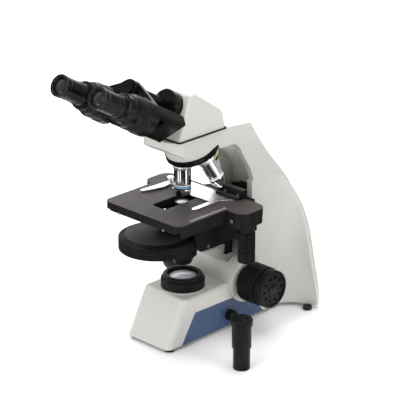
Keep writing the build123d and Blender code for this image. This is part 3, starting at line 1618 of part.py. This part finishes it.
with BuildPart() as telescope_head:
    with BuildSketch(telescope_plane):
        with BuildLine():
            Polyline(
                (8.4, 40),
                (10.0, 40),
                (10.0, 63.4),
                (14.2, 63.4),
                (14.85, 64.2),
                (14.85, 71.4),
                (13.8, 72.5),
                (8.0, 72.5),
                (6.0, 70.5),
                (0, 71.5),
                (0, 68),
                (8.4, 66),
                close=True,
            )
        make_face()
    revolve(axis=telescope_axis)
telescope_head.part.label = "telescope_head"
export_step(telescope_head.part, "parts/telescope_head.step")
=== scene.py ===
from math import copysign, cos, pi, radians, sin

import bpy
import bmesh
from mathutils import Matrix, Vector


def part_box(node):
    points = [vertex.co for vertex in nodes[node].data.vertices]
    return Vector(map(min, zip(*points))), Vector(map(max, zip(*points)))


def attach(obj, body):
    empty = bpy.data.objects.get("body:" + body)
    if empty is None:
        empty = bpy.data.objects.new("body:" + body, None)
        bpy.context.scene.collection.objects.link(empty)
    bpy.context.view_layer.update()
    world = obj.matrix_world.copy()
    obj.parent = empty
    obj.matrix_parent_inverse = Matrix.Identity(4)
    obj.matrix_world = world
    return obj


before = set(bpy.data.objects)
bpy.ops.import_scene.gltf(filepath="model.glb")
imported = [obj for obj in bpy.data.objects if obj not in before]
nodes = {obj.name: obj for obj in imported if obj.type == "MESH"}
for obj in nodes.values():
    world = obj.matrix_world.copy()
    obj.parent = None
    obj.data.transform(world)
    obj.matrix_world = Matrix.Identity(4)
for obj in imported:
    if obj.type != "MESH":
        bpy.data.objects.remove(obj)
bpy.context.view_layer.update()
MM = 0.001


# ---------------------------------------------------------------- materials
def new_material(name):
    mat = bpy.data.materials.new(name)
    mat.use_nodes = True
    tree = mat.node_tree
    shader = tree.nodes["Principled BSDF"]
    return mat, tree, shader


def surface(name, colour, roughness, metallic=0.0, coat=0.0, coat_roughness=0.1, vary=0.05,
            grain=0.0, grain_size=0.8, blotch=40.0, rough_vary=0.06, edge=0.0, edge_colour=None,
            rounding=0.5, specular=0.5, brushed=None, painted_top_light=None):
    """A painted, moulded or plated surface: blotchy colour, uneven gloss, grain and worn edges, and optionally
    upward faces painted lighter for the light from above.
    """
    mat, tree, shader = new_material(name)
    new, link = tree.nodes.new, tree.links.new
    coords = new("ShaderNodeTexCoord")
    place = new("ShaderNodeMapping")
    link(coords.outputs["Object"], place.inputs["Vector"])
    if brushed:
        place.inputs["Scale"].default_value = brushed
    cloud = new("ShaderNodeTexNoise")
    cloud.inputs["Scale"].default_value = blotch
    cloud.inputs["Detail"].default_value = 5.0
    link(coords.outputs["Object"], cloud.inputs["Vector"])
    ramp = new("ShaderNodeValToRGB")
    dark = tuple(c * (1 - vary) for c in colour)
    light = tuple(min(1.0, c * (1 + vary) + vary * 0.02) for c in colour)
    ramp.color_ramp.elements[0].position = 0.3
    ramp.color_ramp.elements[1].position = 0.7
    ramp.color_ramp.elements[0].color = (*dark, 1)
    ramp.color_ramp.elements[1].color = (*light, 1)
    link(cloud.outputs["Fac"], ramp.inputs["Fac"])
    smudge = new("ShaderNodeTexNoise")
    smudge.inputs["Scale"].default_value = blotch * 2.6
    smudge.inputs["Detail"].default_value = 6.0
    smudge.inputs["Roughness"].default_value = 0.65
    link(coords.outputs["Object"], smudge.inputs["Vector"])
    spread = new("ShaderNodeMapRange")
    spread.inputs["From Min"].default_value = 0.3
    spread.inputs["From Max"].default_value = 0.7
    spread.inputs["To Min"].default_value = max(0.02, roughness - rough_vary)
    spread.inputs["To Max"].default_value = min(1.0, roughness + rough_vary)
    link(smudge.outputs["Fac"], spread.inputs["Value"])
    link(spread.outputs["Result"], shader.inputs["Roughness"])
    round_edge = new("ShaderNodeBevel")
    round_edge.samples = 4
    round_edge.inputs["Radius"].default_value = rounding * MM
    last_normal = round_edge.outputs["Normal"]
    if grain:
        fine = new("ShaderNodeTexNoise")
        fine.inputs["Scale"].default_value = 1.0 / (grain_size * MM)
        fine.inputs["Detail"].default_value = 3.0
        link(place.outputs["Vector"], fine.inputs["Vector"])
        bump = new("ShaderNodeBump")
        bump.inputs["Strength"].default_value = min(1.0, grain)
        bump.inputs["Distance"].default_value = 0.12 * MM
        link(fine.outputs["Fac"], bump.inputs["Height"])
        link(last_normal, bump.inputs["Normal"])
        last_normal = bump.outputs["Normal"]
    link(last_normal, shader.inputs["Normal"])
    base = ramp.outputs["Color"]
    if painted_top_light:
        # painted light: faces that look up get a lighter colour of their own, standing in for the top light
        # that falls on them
        facing = new("ShaderNodeNewGeometry")
        split = new("ShaderNodeSeparateXYZ")
        link(facing.outputs["True Normal"], split.inputs["Vector"])
        upward = new("ShaderNodeMapRange")
        upward.inputs["From Min"].default_value = 0.90
        upward.inputs["From Max"].default_value = 0.98
        link(split.outputs["Z"], upward.inputs["Value"])
        tint = new("ShaderNodeMix")
        tint.data_type = "RGBA"
        tint.blend_type = "MIX"
        scaled = new("ShaderNodeMix")
        scaled.data_type = "RGBA"
        link(cloud.outputs["Fac"], scaled.inputs["Factor"])
        scaled.inputs["A"].default_value = (*(c * (1 - vary) for c in painted_top_light), 1)
        scaled.inputs["B"].default_value = (*(c * (1 + vary) for c in painted_top_light), 1)
        link(upward.outputs["Result"], tint.inputs["Factor"])
        link(base, tint.inputs["A"])
        link(scaled.outputs["Result"], tint.inputs["B"])
        base = tint.outputs["Result"]
    if edge:
        geometry = new("ShaderNodeNewGeometry")
        turn = new("ShaderNodeVectorMath")
        turn.operation = "DOT_PRODUCT"
        link(round_edge.outputs["Normal"], turn.inputs[0])
        link(geometry.outputs["Normal"], turn.inputs[1])
        rub = new("ShaderNodeMapRange")
        rub.inputs["From Min"].default_value = 0.995
        rub.inputs["From Max"].default_value = 0.90
        rub.inputs["To Max"].default_value = edge
        link(turn.outputs["Value"], rub.inputs["Value"])
        patchy = new("ShaderNodeMath")
        patchy.operation = "MULTIPLY"
        link(rub.outputs["Result"], patchy.inputs[0])
        link(smudge.outputs["Fac"], patchy.inputs[1])
        mix = new("ShaderNodeMix")
        mix.data_type = "RGBA"
        link(patchy.outputs["Value"], mix.inputs["Factor"])
        link(base, mix.inputs["A"])
        mix.inputs["B"].default_value = (*(edge_colour or light), 1)
        base = mix.outputs["Result"]
    link(base, shader.inputs["Base Color"])
    shader.inputs["Metallic"].default_value = metallic
    shader.inputs["Specular IOR Level"].default_value = specular
    if coat:
        shader.inputs["Coat Weight"].default_value = coat
        shader.inputs["Coat Roughness"].default_value = coat_roughness
    return mat


cream = surface("cream_paint", (0.525, 0.512, 0.482), 0.36, coat=0.25, coat_roughness=0.2, vary=0.025,
                grain=0.12, grain_size=1.6, blotch=14, edge=0.30, edge_colour=(0.66, 0.65, 0.62),
                rounding=1.2)
blue = surface("blue_plastic", (0.030, 0.062, 0.150), 0.42, vary=0.10, grain=0.35, grain_size=0.5,
               edge=0.5, edge_colour=(0.09, 0.15, 0.28))
# black paint: its upward faces get a lighter colour, painted light standing in for the light from above
black_paint = surface("black_paint", (0.0045, 0.0042, 0.004), 0.36, vary=0.18, grain=0.12,
                      grain_size=0.6, edge=0.3, edge_colour=(0.035, 0.033, 0.032), specular=0.11,
                      painted_top_light=(0.042, 0.042, 0.042))
black_textured = surface("black_textured", (0.0055, 0.0050, 0.0047), 0.50, vary=0.15, grain=0.6,
                         grain_size=0.45, edge=0.3, edge_colour=(0.035, 0.032, 0.030), rounding=0.8,
                         specular=0.09)
# stage black: its upward faces, the stage top, get a lighter colour, painted light standing in for the light
# from above
stage_black = surface("stage_black", (0.0085, 0.0070, 0.0066), 0.46, vary=0.14, grain=0.45,
                      grain_size=0.35, rough_vary=0.10, edge=0.35, edge_colour=(0.05, 0.045, 0.043),
                      rounding=0.8, specular=0.12, painted_top_light=(0.052, 0.046, 0.0445))
black_plastic = surface("black_plastic", (0.0045, 0.0045, 0.0045), 0.40, vary=0.15, grain=0.3,
                        grain_size=0.5, edge=0.35, edge_colour=(0.04, 0.04, 0.04), specular=0.12)
black_gloss = surface("black_gloss", (0.0035, 0.0035, 0.0035), 0.18, coat=0.03, coat_roughness=0.10,
                      vary=0.2, grain=0.06, grain_size=1.2, rough_vary=0.08, edge=0.4,
                      edge_colour=(0.035, 0.035, 0.035), rounding=0.7, specular=0.12)
rubber = surface("rubber", (0.014, 0.0135, 0.013), 0.75, vary=0.2, grain=0.6, grain_size=0.7,
                 specular=0.3)
chrome = surface("chrome", (0.86, 0.86, 0.88), 0.10, metallic=1.0, vary=0.02, rough_vary=0.045,
                 rounding=0.3)
dark_chrome = surface("dark_chrome", (0.30, 0.30, 0.31), 0.14, metallic=1.0, vary=0.04,
                      rough_vary=0.05, rounding=0.3)
silver = surface("satin_silver", (0.88, 0.87, 0.88), 0.24, metallic=1.0, vary=0.03, grain=0.08,
                 grain_size=0.6, rough_vary=0.08, brushed=(1.0, 14.0, 14.0))
steel = surface("steel", (0.56, 0.55, 0.54), 0.28, metallic=1.0, vary=0.05, grain=0.3,
                grain_size=0.25, rough_vary=0.1)
brass = surface("brass", (0.55, 0.42, 0.22), 0.30, metallic=1.0, vary=0.08, rough_vary=0.1)
aluminium = surface("aluminium", (0.60, 0.60, 0.61), 0.38, metallic=1.0, vary=0.04, grain=0.3,
                    grain_size=0.3)
green_board = surface("green_board", (0.02, 0.11, 0.04), 0.35, vary=0.15, grain=0.3)
lamp_white = surface("lamp_white", (0.75, 0.73, 0.62), 0.5, vary=0.05, grain=0.2)
white_mark = surface("white_mark", (0.88, 0.88, 0.86), 0.55, vary=0.05, grain=0.2, rounding=0.05)
light_blue = surface("light_blue_band", (0.09, 0.36, 0.62), 0.35, vary=0.06, grain=0.1, rounding=0.05)
yellow = surface("yellow_band", (0.66, 0.60, 0.10), 0.35, vary=0.06, grain=0.1, rounding=0.05)
red = surface("red_band", (0.50, 0.03, 0.03), 0.35, vary=0.06, grain=0.1, rounding=0.05)
white_band = surface("white_band", (0.75, 0.75, 0.74), 0.35, vary=0.04, grain=0.1, rounding=0.05)
bronze = surface("bronze_grip", (0.30, 0.235, 0.15), 0.34, metallic=0.9, vary=0.1, grain=0.3)


def glass(name, tint, roughness):
    mat, tree, shader = new_material(name)
    shader.inputs["Base Color"].default_value = (*tint, 1)
    shader.inputs["Transmission Weight"].default_value = 1.0
    shader.inputs["IOR"].default_value = 1.5
    shader.inputs["Coat Weight"].default_value = 0.5
    noise = tree.nodes.new("ShaderNodeTexNoise")
    noise.inputs["Scale"].default_value = 90.0
    dust = tree.nodes.new("ShaderNodeMapRange")
    dust.inputs["To Min"].default_value = roughness
    dust.inputs["To Max"].default_value = roughness + 0.06
    tree.links.new(noise.outputs["Fac"], dust.inputs["Value"])
    tree.links.new(dust.outputs["Result"], shader.inputs["Roughness"])
    return mat


clear_glass = glass("clear_glass", (0.93, 0.96, 0.98), 0.01)
frosted_lens = surface("frosted_lens", (0.80, 0.78, 0.86), 0.12, coat=0.8, coat_roughness=0.04,
                       vary=0.10, blotch=60.0, rough_vary=0.05, rounding=0.2)


def coated_lens(name, tint):
    """A front lens seen from outside: dark glass with a purple-green coating."""
    mat, tree, shader = new_material(name)
    new, link = tree.nodes.new, tree.links.new
    facing = new("ShaderNodeLayerWeight")
    facing.inputs["Blend"].default_value = 0.4
    ramp = new("ShaderNodeValToRGB")
    ramp.color_ramp.elements[0].color = (*tint, 1)
    ramp.color_ramp.elements[1].color = (0.03, 0.06, 0.05, 1)
    link(facing.outputs["Facing"], ramp.inputs["Fac"])
    link(ramp.outputs["Color"], shader.inputs["Base Color"])
    noise = new("ShaderNodeTexNoise")
    noise.inputs["Scale"].default_value = 200.0
    dust = new("ShaderNodeMapRange")
    dust.inputs["To Min"].default_value = 0.03
    dust.inputs["To Max"].default_value = 0.10
    link(noise.outputs["Fac"], dust.inputs["Value"])
    link(dust.outputs["Result"], shader.inputs["Roughness"])
    shader.inputs["Coat Weight"].default_value = 0.05
    shader.inputs["Specular IOR Level"].default_value = 0.2
    return mat


eye_lens = coated_lens("eye_lens", (0.025, 0.012, 0.017))

node_materials = {
    "stand_casting": cream, "head_housing": cream, "side_panels": blue, "rubber_feet": rubber,
    "bottom_cover": black_textured, "cover_screws": steel, "rear_panel": black_textured,
    "power_inlet": black_plastic, "switch_frame": black_plastic, "power_switch": black_plastic,
    "heat_sink": aluminium, "led_module": lamp_white, "driver_board": green_board,
    "collector_housing": black_paint, "field_lens": frosted_lens, "field_iris_ring": black_paint,
    "focus_bushes": brass, "coarse_shaft": steel, "fine_shaft": steel,
    "coarse_knobs": black_plastic, "fine_knobs": black_plastic, "tension_collar": black_plastic,
    "dimmer_knob": black_plastic, "guide_rail": black_textured, "focus_rack": black_textured,
    "stage_bracket": black_textured, "stage_base_plate": black_textured,
    "stage_plate": stage_black, "stage_y_knob": black_plastic, "stage_x_knob": black_plastic,
    "slide_holder": silver, "holder_carriage": black_paint, "spring_finger": silver,
    "condenser_bracket": black_paint, "condenser_housing": black_paint,
    "condenser_lens": frosted_lens, "condenser_lower": black_paint, "condenser_screws": steel,
    "condenser_knob": black_plastic, "phase_turret": black_paint, "aperture_lever": black_paint,
    "nosepiece_base": chrome, "nosepiece_turret": black_gloss, "objective_4x": chrome,
    "objective_10x": chrome, "objective_40x": chrome, "objective_100x": chrome,
    "head_dovetail": steel, "head_prism": clear_glass, "head_lock_screw": steel,
    "pivot_barrel": black_gloss, "prism_arm_left": black_gloss, "prism_arm_right": black_gloss,
    "eyetube_left": black_gloss, "eyetube_right": black_gloss, "diopter_ring": black_plastic,
    "eyepiece_left": black_gloss, "eyepiece_right": black_gloss, "telescope_tube": black_gloss,
    "telescope_head": black_plastic,
}
for node_name, mat in node_materials.items():
    node = nodes[node_name]
    for place in node.material_slots:
        place.material = mat
    if not node.material_slots:
        node.data.materials.append(mat)


# ---------------------------------------------------------------- mesh helpers
def finish_piece(name, bm, mat, body, matrix=None, smooth=True, bevel=0.0):
    mesh = bpy.data.meshes.new(name)
    bmesh.ops.recalc_face_normals(bm, faces=bm.faces)
    bm.to_mesh(mesh)
    bm.free()
    if matrix is not None:
        mesh.transform(matrix)
    piece = bpy.data.objects.new(name, mesh)
    bpy.context.scene.collection.objects.link(piece)
    mesh.materials.append(mat)
    for face in mesh.polygons:
        face.use_smooth = smooth
    if bevel:
        edge_round = piece.modifiers.new("edge", "BEVEL")
        edge_round.width = bevel * MM
        edge_round.segments = 2
        edge_round.limit_method = "ANGLE"
        edge_round.angle_limit = radians(30)
    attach(piece, body)
    return piece


def lathe(name, profile, matrix, mat, body, steps=72, sharp=35):
    """A closed (radius, height) outline in mm turned round local z."""
    bm = bmesh.new()
    rings = []
    for i in range(steps):
        angle = 2 * pi * i / steps
        rings.append([bm.verts.new((r * MM * cos(angle), r * MM * sin(angle), h * MM))
                      for r, h in profile])
    count = len(profile)
    for i in range(steps):
        here, after = rings[i], rings[(i + 1) % steps]
        for j in range(count):
            k = (j + 1) % count
            corners = (here[j], after[j], after[k], here[k])
            if profile[j][0] < 1e-6 and profile[k][0] < 1e-6:
                continue
            bm.faces.new(corners)
    bmesh.ops.remove_doubles(bm, verts=bm.verts, dist=1e-7)
    piece = finish_piece(name, bm, mat, body, matrix)
    piece.data.set_sharp_from_angle(angle=radians(sharp))
    return piece


def grip_ring(name, inner, outer, low, high, ribs, depth, matrix, mat, body, bevel=0.25):
    """A ring with straight grip ribs round its outside."""
    steps = ribs * 6
    bm = bmesh.new()
    levels = [(low, -bevel), (low + bevel, 0), (high - bevel, 0), (high, -bevel)]
    outside, inside = [], []
    for height, tuck in levels:
        ring = []
        for i in range(steps):
            angle = 2 * pi * i / steps
            wave = 0.5 + 0.5 * cos(2 * pi * i / 6)
            radius = outer + tuck - depth * (1 - min(1.0, wave * 1.7))
            ring.append(bm.verts.new((radius * MM * cos(angle), radius * MM * sin(angle), height * MM)))
        outside.append(ring)
    for height in (low, high):
        inside.append([bm.verts.new((inner * MM * cos(2 * pi * i / steps),
                                     inner * MM * sin(2 * pi * i / steps), height * MM))
                       for i in range(steps)])
    for i in range(steps):
        k = (i + 1) % steps
        for a, b in zip(outside, outside[1:]):
            bm.faces.new((a[i], a[k], b[k], b[i]))
        bm.faces.new((inside[0][i], inside[0][k], outside[0][k], outside[0][i]))
        bm.faces.new((outside[-1][i], outside[-1][k], inside[1][k], inside[1][i]))
        bm.faces.new((inside[1][i], inside[1][k], inside[0][k], inside[0][i]))
    piece = finish_piece(name, bm, mat, body, matrix)
    piece.data.set_sharp_from_angle(angle=radians(40))
    return piece


def bars(name, boxes, matrix, mat, body, bevel=0.1):
    """Several small raised bars in one piece: each is centre and size in mm."""
    bm = bmesh.new()
    for (x, y, z), (a, b, c) in boxes:
        part = bmesh.ops.create_cube(bm, size=1.0)
        bmesh.ops.scale(bm, vec=(a * MM, b * MM, c * MM), verts=part["verts"])
        bmesh.ops.translate(bm, vec=(x * MM, y * MM, z * MM), verts=part["verts"])
    return finish_piece(name, bm, mat, body, matrix, smooth=False, bevel=bevel)


def frame_at(origin, z_axis, x_hint=(1, 0, 0)):
    """Local z along z_axis, local x near x_hint, origin in mm."""
    z = Vector(z_axis).normalized()
    x = Vector(x_hint)
    x = (x - z * x.dot(z)).normalized()
    y = z.cross(x)
    rot = Matrix((x, y, z)).transposed().to_4x4()
    return Matrix.Translation(Vector(origin) * MM) @ rot


# ---------------------------------------------------------------- objectives
tilt = radians(21)
seat_circle = 22.5
shoulder_z = 246.4
apex = Vector((0, 0, shoulder_z + seat_circle / sin(tilt)))


def objective_frame(index):
    """Local z runs down the objective's axis from its shoulder."""
    turn = radians(90 * index)
    down = Vector((
        sin(tilt) * sin(turn),
        cos(tilt) * sin(tilt) * (1 - cos(turn)),
        -cos(tilt) ** 2 - sin(tilt) ** 2 * cos(turn),
    ))
    origin = apex + down * (seat_circle / sin(tilt))
    return frame_at(origin, down, (cos(turn), 0, 0.001) if abs(cos(turn)) > 0.5 else (0, 1, 0))


def band(name, radius, low, high, matrix, mat, body="nosepiece"):
    lip = 0.12
    return lathe(name, [(radius - 0.6, low), (radius + lip - 0.05, low), (radius + lip, low + 0.1),
                        (radius + lip, high - 0.1), (radius + lip - 0.05, high),
                        (radius - 0.6, high)], matrix, mat, body)


objective_sizes = {
    "objective_40x": (0, 44.4, 11.8, 7.0, light_blue, chrome),
    "objective_100x": (1, 44.6, 11.2, 8.0, white_band, chrome),
    "objective_10x": (2, 32.0, 11.4, 5.0, yellow, bronze),
    "objective_4x": (3, 27.0, 11.4, 3.0, red, bronze),
}
for name, (index, length, barrel, taper, colour, grip) in objective_sizes.items():
    here = objective_frame(index)
    band(name + "_colour_ring", barrel, length - taper - 8.6, length - taper - 6.4, here, colour)
    band(name + "_thin_ring", barrel, length - taper - 10.2, length - taper - 9.5, here, white_mark)
    grip_ring(name + "_grip", 9.5, 12.4, 0.15, 4.9, 44, 0.35, here, grip, "nosepiece")
    band(name + "_black_ring", barrel, length - taper - 5.6, length - taper - 4.1, here, black_gloss)

# spring-loaded front sleeve of the 40x, with its dark cell below
high_dry = objective_frame(0)
lathe("objective_40x_sleeve", [(9.0, 33.0), (11.9, 33.0), (11.9, 40.0), (11.0, 41.4), (7.4, 42.6), (5.0, 42.6)],
      high_dry, chrome, "nosepiece")
lathe("objective_40x_cell", [(3.0, 42.4), (6.2, 42.4), (5.6, 43.9), (4.7, 44.4), (3.0, 44.4)],
      high_dry, black_gloss, "nosepiece")

# ---------------------------------------------------------------- stage marks and screws
stage_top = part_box("stage_plate")[1][2] / MM
marks = [((65.5, -19.0, stage_top), (0.22, 66.0, 0.16))]
for i in range(15):
    long_tick = 7.0 if i % 5 == 0 else 4.6
    marks.append(((65.5, -50.0 + i * 4.6, stage_top), (long_tick, 0.5, 0.16)))
bars("stage_scale_y", marks, None, white_mark, "stage", bevel=0.0)
marks = []
for i in range(31):
    long_tick = 3.2 if i % 5 == 0 else 2.0
    marks.append(((-46 + i * 3.0, 49.4 - long_tick / 2, 199.1), (0.3, long_tick, 0.14)))
bars("holder_scale_x", marks, None, black_paint, "slide_holder", bevel=0.0)


def cap_screw(name, origin, axis, radius, mat, body):
    """A socket-head screw: domed rim with a hexagonal recess."""
    here = frame_at(origin, axis, (0.3, 0.5, 0.8))
    bm = bmesh.new()
    sides = 36
    depth = 0.55 * radius
    loops = []
    profile = [(radius, -0.4), (radius, 0.25 * radius), (radius * 0.92, 0.36 * radius)]
    for r, h in profile:
        loops.append([bm.verts.new((r * MM * cos(2 * pi * i / sides), r * MM * sin(2 * pi * i / sides),
                                    h * MM)) for i in range(sides)])
    for z in (0.36 * radius, 0.36 * radius - depth):
        ring = []
        for i in range(sides):
            angle = 2 * pi * i / sides
            local = (angle + pi / 6) % (pi / 3) - pi / 6
            hexed = 0.5 * radius / cos(local)
            ring.append(bm.verts.new((hexed * MM * cos(angle), hexed * MM * sin(angle), z * MM)))
        loops.append(ring)
    for a, b in zip(loops, loops[1:]):
        for i in range(sides):
            k = (i + 1) % sides
            bm.faces.new((a[i], a[k], b[k], b[i]))
    bm.faces.new(loops[-1])
    bm.faces.new(list(reversed(loops[0])))
    piece = finish_piece(name, bm, mat, body, here)
    piece.data.set_sharp_from_angle(angle=radians(35))
    return piece


cap_screw("stage_screw_front", (42, -78.9, 185.6), (0, -1, 0), 1.5, steel, "stage")
cap_screw("stage_screw_front_left", (-42, -78.9, 185.6), (0, -1, 0), 1.5, steel, "stage")
cap_screw("stage_screw_ear", (81, 10.4, 183.5), (0, -1, 0), 2.6, steel, "stage")


def cheek(name, mat, body):
    """The cast cheek that carries the bracket's right wall forward beside the condenser."""
    inner, outer = 37.1, 44.9
    outline = [(13.0, 134.0), (13.0, 173.6), (-17.5, 173.6), (-17.5, 146.0), (-15.0, 139.0),
               (-9.0, 134.0)]
    bm = bmesh.new()
    rings = [[bm.verts.new((x * MM, y * MM, z * MM)) for y, z in outline] for x in (inner, outer)]
    bm.faces.new(rings[0])
    bm.faces.new(rings[1])
    for i in range(len(outline)):
        k = (i + 1) % len(outline)
        bm.faces.new((rings[0][i], rings[0][k], rings[1][k], rings[1][i]))
    return finish_piece(name, bm, mat, body, smooth=False, bevel=1.2)


cheek("bracket_cheek_right", black_textured, "stage_lift")
cap_screw("bracket_screw_right", (44.7, 4.0, 139.0), (1, 0, 0), 2.0, steel, "stage_lift")
for x in (-12, 12):
    cap_screw(f"carriage_screw_{'left' if x < 0 else 'right'}", (43 + x, 50.6, 202.6), (0, -1, 0), 1.5,
              steel, "slide_holder")

# ---------------------------------------------------------------- focus knobs
knob_centre = (0, 80, 66)
for side, word in ((1, "right"), (-1, "left")):
    here = frame_at(knob_centre, (side, 0, 0), (0, 0, 1))
    grip_ring(f"fine_grip_{word}", 22.0, 26.9, 82.6, 94.6, 40, 0.8, here, black_plastic, "fine_drive")
    lathe(f"fine_cap_{word}", [(0, 93.4), (7.4, 93.4), (8.0, 94.0), (8.0, 94.6), (7.2, 95.3), (3, 95.6),
                               (0, 95.7)], here, black_gloss, "fine_drive")
    for i in range(10):
        angle = 2 * pi * i / 10
        spot = here @ Matrix.Translation(Vector((17 * cos(angle), 17 * sin(angle), 92.6)) * MM)
        lathe(f"fine_dimple_{word}_{i}", [(0, 0), (2.1, 0), (3.3, 0.5), (3.1, 0.75), (2.5, 0.7), (1.7, 0.5),
                                          (0, 0.3)], spot, black_gloss, "fine_drive",
              steps=28)

# ---------------------------------------------------------------- binocular details
slope = radians(30)
along = Vector((0, -cos(slope), sin(slope)))
across = Vector((0, sin(slope), cos(slope)))


def tube_frame(x, height, distance=0.0):
    """Local z along the eyepiece tubes, local x to the user's right, local y up."""
    origin = Vector((x, 0, 0)) + across * height + along * distance
    return frame_at(origin, along, (1, 0, 0))


for side, word in ((1, "right"), (-1, "left")):
    here = tube_frame(side * 35.0, 248.28)
    body = f"eyepiece_{word}"
    lathe(f"eyepiece_rim_{word}", [(11.8, 355.6), (14.6, 355.6), (15.1, 356.2), (15.1, 357.3),
                                   (14.3, 357.9), (12.6, 357.9), (11.8, 357.1)], here, rubber, body)
    lathe(f"eye_lens_{word}", [(0, 353.0), (9.7, 353.0), (9.7, 353.3), (7, 354.3), (4, 354.9),
                               (0, 355.1)], here, eye_lens, body)
    for k, h in enumerate((325.4, 326.8, 328.2)):
        lathe(f"eyepiece_groove_{word}_{k}", [(13.4, h), (14.5, h), (14.62, h + 0.3), (14.62, h + 0.5),
                                              (14.5, h + 0.8), (13.4, h + 0.8)], here, black_plastic,
              body)
    grip_ring(f"tube_grip_{word}", 22.0, 23.5, 279.2, 293.2, 60, 0.25, here, black_plastic,
              f"arm_{word}")


def seam_shade_frame(name, node_name, mat, body):
    """A black frame set in the gap under a housing as painted shade for that seam: a thin frame that follows
    the outline of its foot.
    """
    housing = nodes[node_name]
    corners = [housing.matrix_world @ v.co for v in housing.data.vertices]
    foot = min(c.z for c in corners)
    outline = sorted({(round(c.x, 6), round(c.y, 6)) for c in corners if c.z < foot + 0.05 * MM})
    hull = []
    for run in (outline, outline[::-1]):
        chain = []
        for spot in run:
            while len(chain) > 1 and ((chain[-1][0] - chain[-2][0]) * (spot[1] - chain[-2][1])
                                      <= (chain[-1][1] - chain[-2][1]) * (spot[0] - chain[-2][0])):
                chain.pop()
            chain.append(spot)
        hull += chain[:-1]
    middle = sum(y for _, y in hull) / len(hull)
    low, high = foot - 1.15 * MM, foot + 0.7 * MM
    loops = []
    for grow, height in ((0.25, low), (0.25, high), (-2.0, high), (-2.0, low)):
        loops.append([(x + copysign(grow * MM, x), y + copysign(grow * MM, y - middle), height)
                      for x, y in hull])
    bm = bmesh.new()
    rings = [[bm.verts.new(spot) for spot in loop] for loop in loops]
    for a, b in zip(rings, rings[1:] + rings[:1]):
        for i in range(len(hull)):
            k = (i + 1) % len(hull)
            bm.faces.new((a[i], a[k], b[k], b[i]))
    return finish_piece(name, bm, mat, body, smooth=False)


# painted shade: a black frame in the seam under the head stands in for the shadow in that gap
seam_shade_frame("head_seam_shade", "head_housing", black_plastic, "head")

# ---------------------------------------------------------------- floor, light, camera
def dark_cards(radius, height, spans, mat):
    """Dark strips that stand round the object and show only in its reflections."""
    bm = bmesh.new()
    for start, end in spans:
        steps = max(2, int((end - start) / 5))
        posts = []
        for i in range(steps + 1):
            angle = radians(start + (end - start) * i / steps)
            x, y = radius * sin(angle), -radius * cos(angle)
            posts.append((bm.verts.new((x, y, 0.0)), bm.verts.new((x, y, height))))
        for a, b in zip(posts, posts[1:]):
            bm.faces.new((a[0], b[0], b[1], a[1]))
    mesh = bpy.data.meshes.new("dark_cards")
    bm.to_mesh(mesh)
    bm.free()
    mesh.materials.append(mat)
    cards = bpy.data.objects.new("dark_cards", mesh)
    bpy.context.scene.collection.objects.link(cards)
    cards.visible_camera = False
    cards.visible_diffuse = False
    cards.visible_shadow = False
    cards.visible_transmission = False
    return cards


def plane(name, size, z, mat):
    bm = bmesh.new()
    bmesh.ops.create_grid(bm, x_segments=8, y_segments=8, size=size)
    mesh = bpy.data.meshes.new(name)
    bm.to_mesh(mesh)
    bm.free()
    obj = bpy.data.objects.new(name, mesh)
    obj.location = (0, 0, z)
    mesh.materials.append(mat)
    bpy.context.scene.collection.objects.link(obj)
    return obj


floor_material = surface("floor", (0.90, 0.90, 0.90), 0.75, vary=0.008, grain=0.02, grain_size=3.0,
                         blotch=3.0, specular=0.15)
plane("floor", 9.0, -0.0002, floor_material)
card_black = surface("card_black", (0.02, 0.02, 0.02), 0.9, vary=0.1, specular=0.0)
dark_cards(0.30, 0.21, ((-6, 9), (22, 86), (104, 342)), card_black)

scene = bpy.context.scene
world = bpy.data.worlds.new("studio")
scene.world = world
world.use_nodes = True
background = world.node_tree.nodes["Background"]
background.inputs["Color"].default_value = (1.0, 1.0, 1.0, 1)
background.inputs["Strength"].default_value = 0.45


def softbox(name, place, target, width, height, power, colour=(1, 1, 1)):
    light = bpy.data.lights.new(name, "AREA")
    light.shape = "RECTANGLE"
    light.size = width
    light.size_y = height
    light.energy = power
    light.color = colour
    obj = bpy.data.objects.new(name, light)
    scene.collection.objects.link(obj)
    obj.location = place
    obj.rotation_euler = (Vector(target) - Vector(place)).to_track_quat("-Z", "Y").to_euler()
    return obj


aim = (0.0, 0.03, 0.18)
softbox("key", (0.15, -1.6, 1.7), aim, 1.1, 1.1, 15)
softbox("side", (1.9, 0.3, 0.9), aim, 0.8, 1.2, 13)
softbox("top", (0.0, 0.2, 2.4), aim, 1.8, 1.8, 30)
softbox("left", (-1.6, -0.5, 1.2), aim, 0.7, 1.2, 8)
softbox("low", (-0.5, -1.5, 0.30), (0.0, 0.0, 0.28), 1.2, 0.5, 5)
softbox("fill", (1.35, -1.35, 0.45), (0.0, 0.05, 0.22), 0.9, 0.7, 6)
softbox("back", (-1.7, 1.75, 1.0), aim, 2.4, 1.1, 12)
softbox("backdrop", (-1.2, 1.25, 2.2), (-1.3, 1.35, 0.0), 2.4, 2.4, 50)

azimuth, elevation = radians(44.38), radians(21.64)
back = Vector((sin(azimuth) * cos(elevation), -cos(azimuth) * cos(elevation), sin(elevation)))
right = Vector((cos(azimuth), sin(azimuth), 0))
up = back.cross(right)
camera_data = bpy.data.cameras.new("camera")
camera_data.sensor_width = 36.0
camera_data.lens = 180.0
camera_data.clip_end = 50.0
camera = bpy.data.objects.new("camera", camera_data)
scene.collection.objects.link(camera)
place = (back * 2778 + right * 23.58 + up * 181.02) * MM
camera.matrix_world = Matrix.Translation(place) @ Matrix((right, up, back)).transposed().to_4x4()
scene.camera = camera
scene.view_settings.view_transform = "Standard"
scene.view_settings.exposure = 0.0
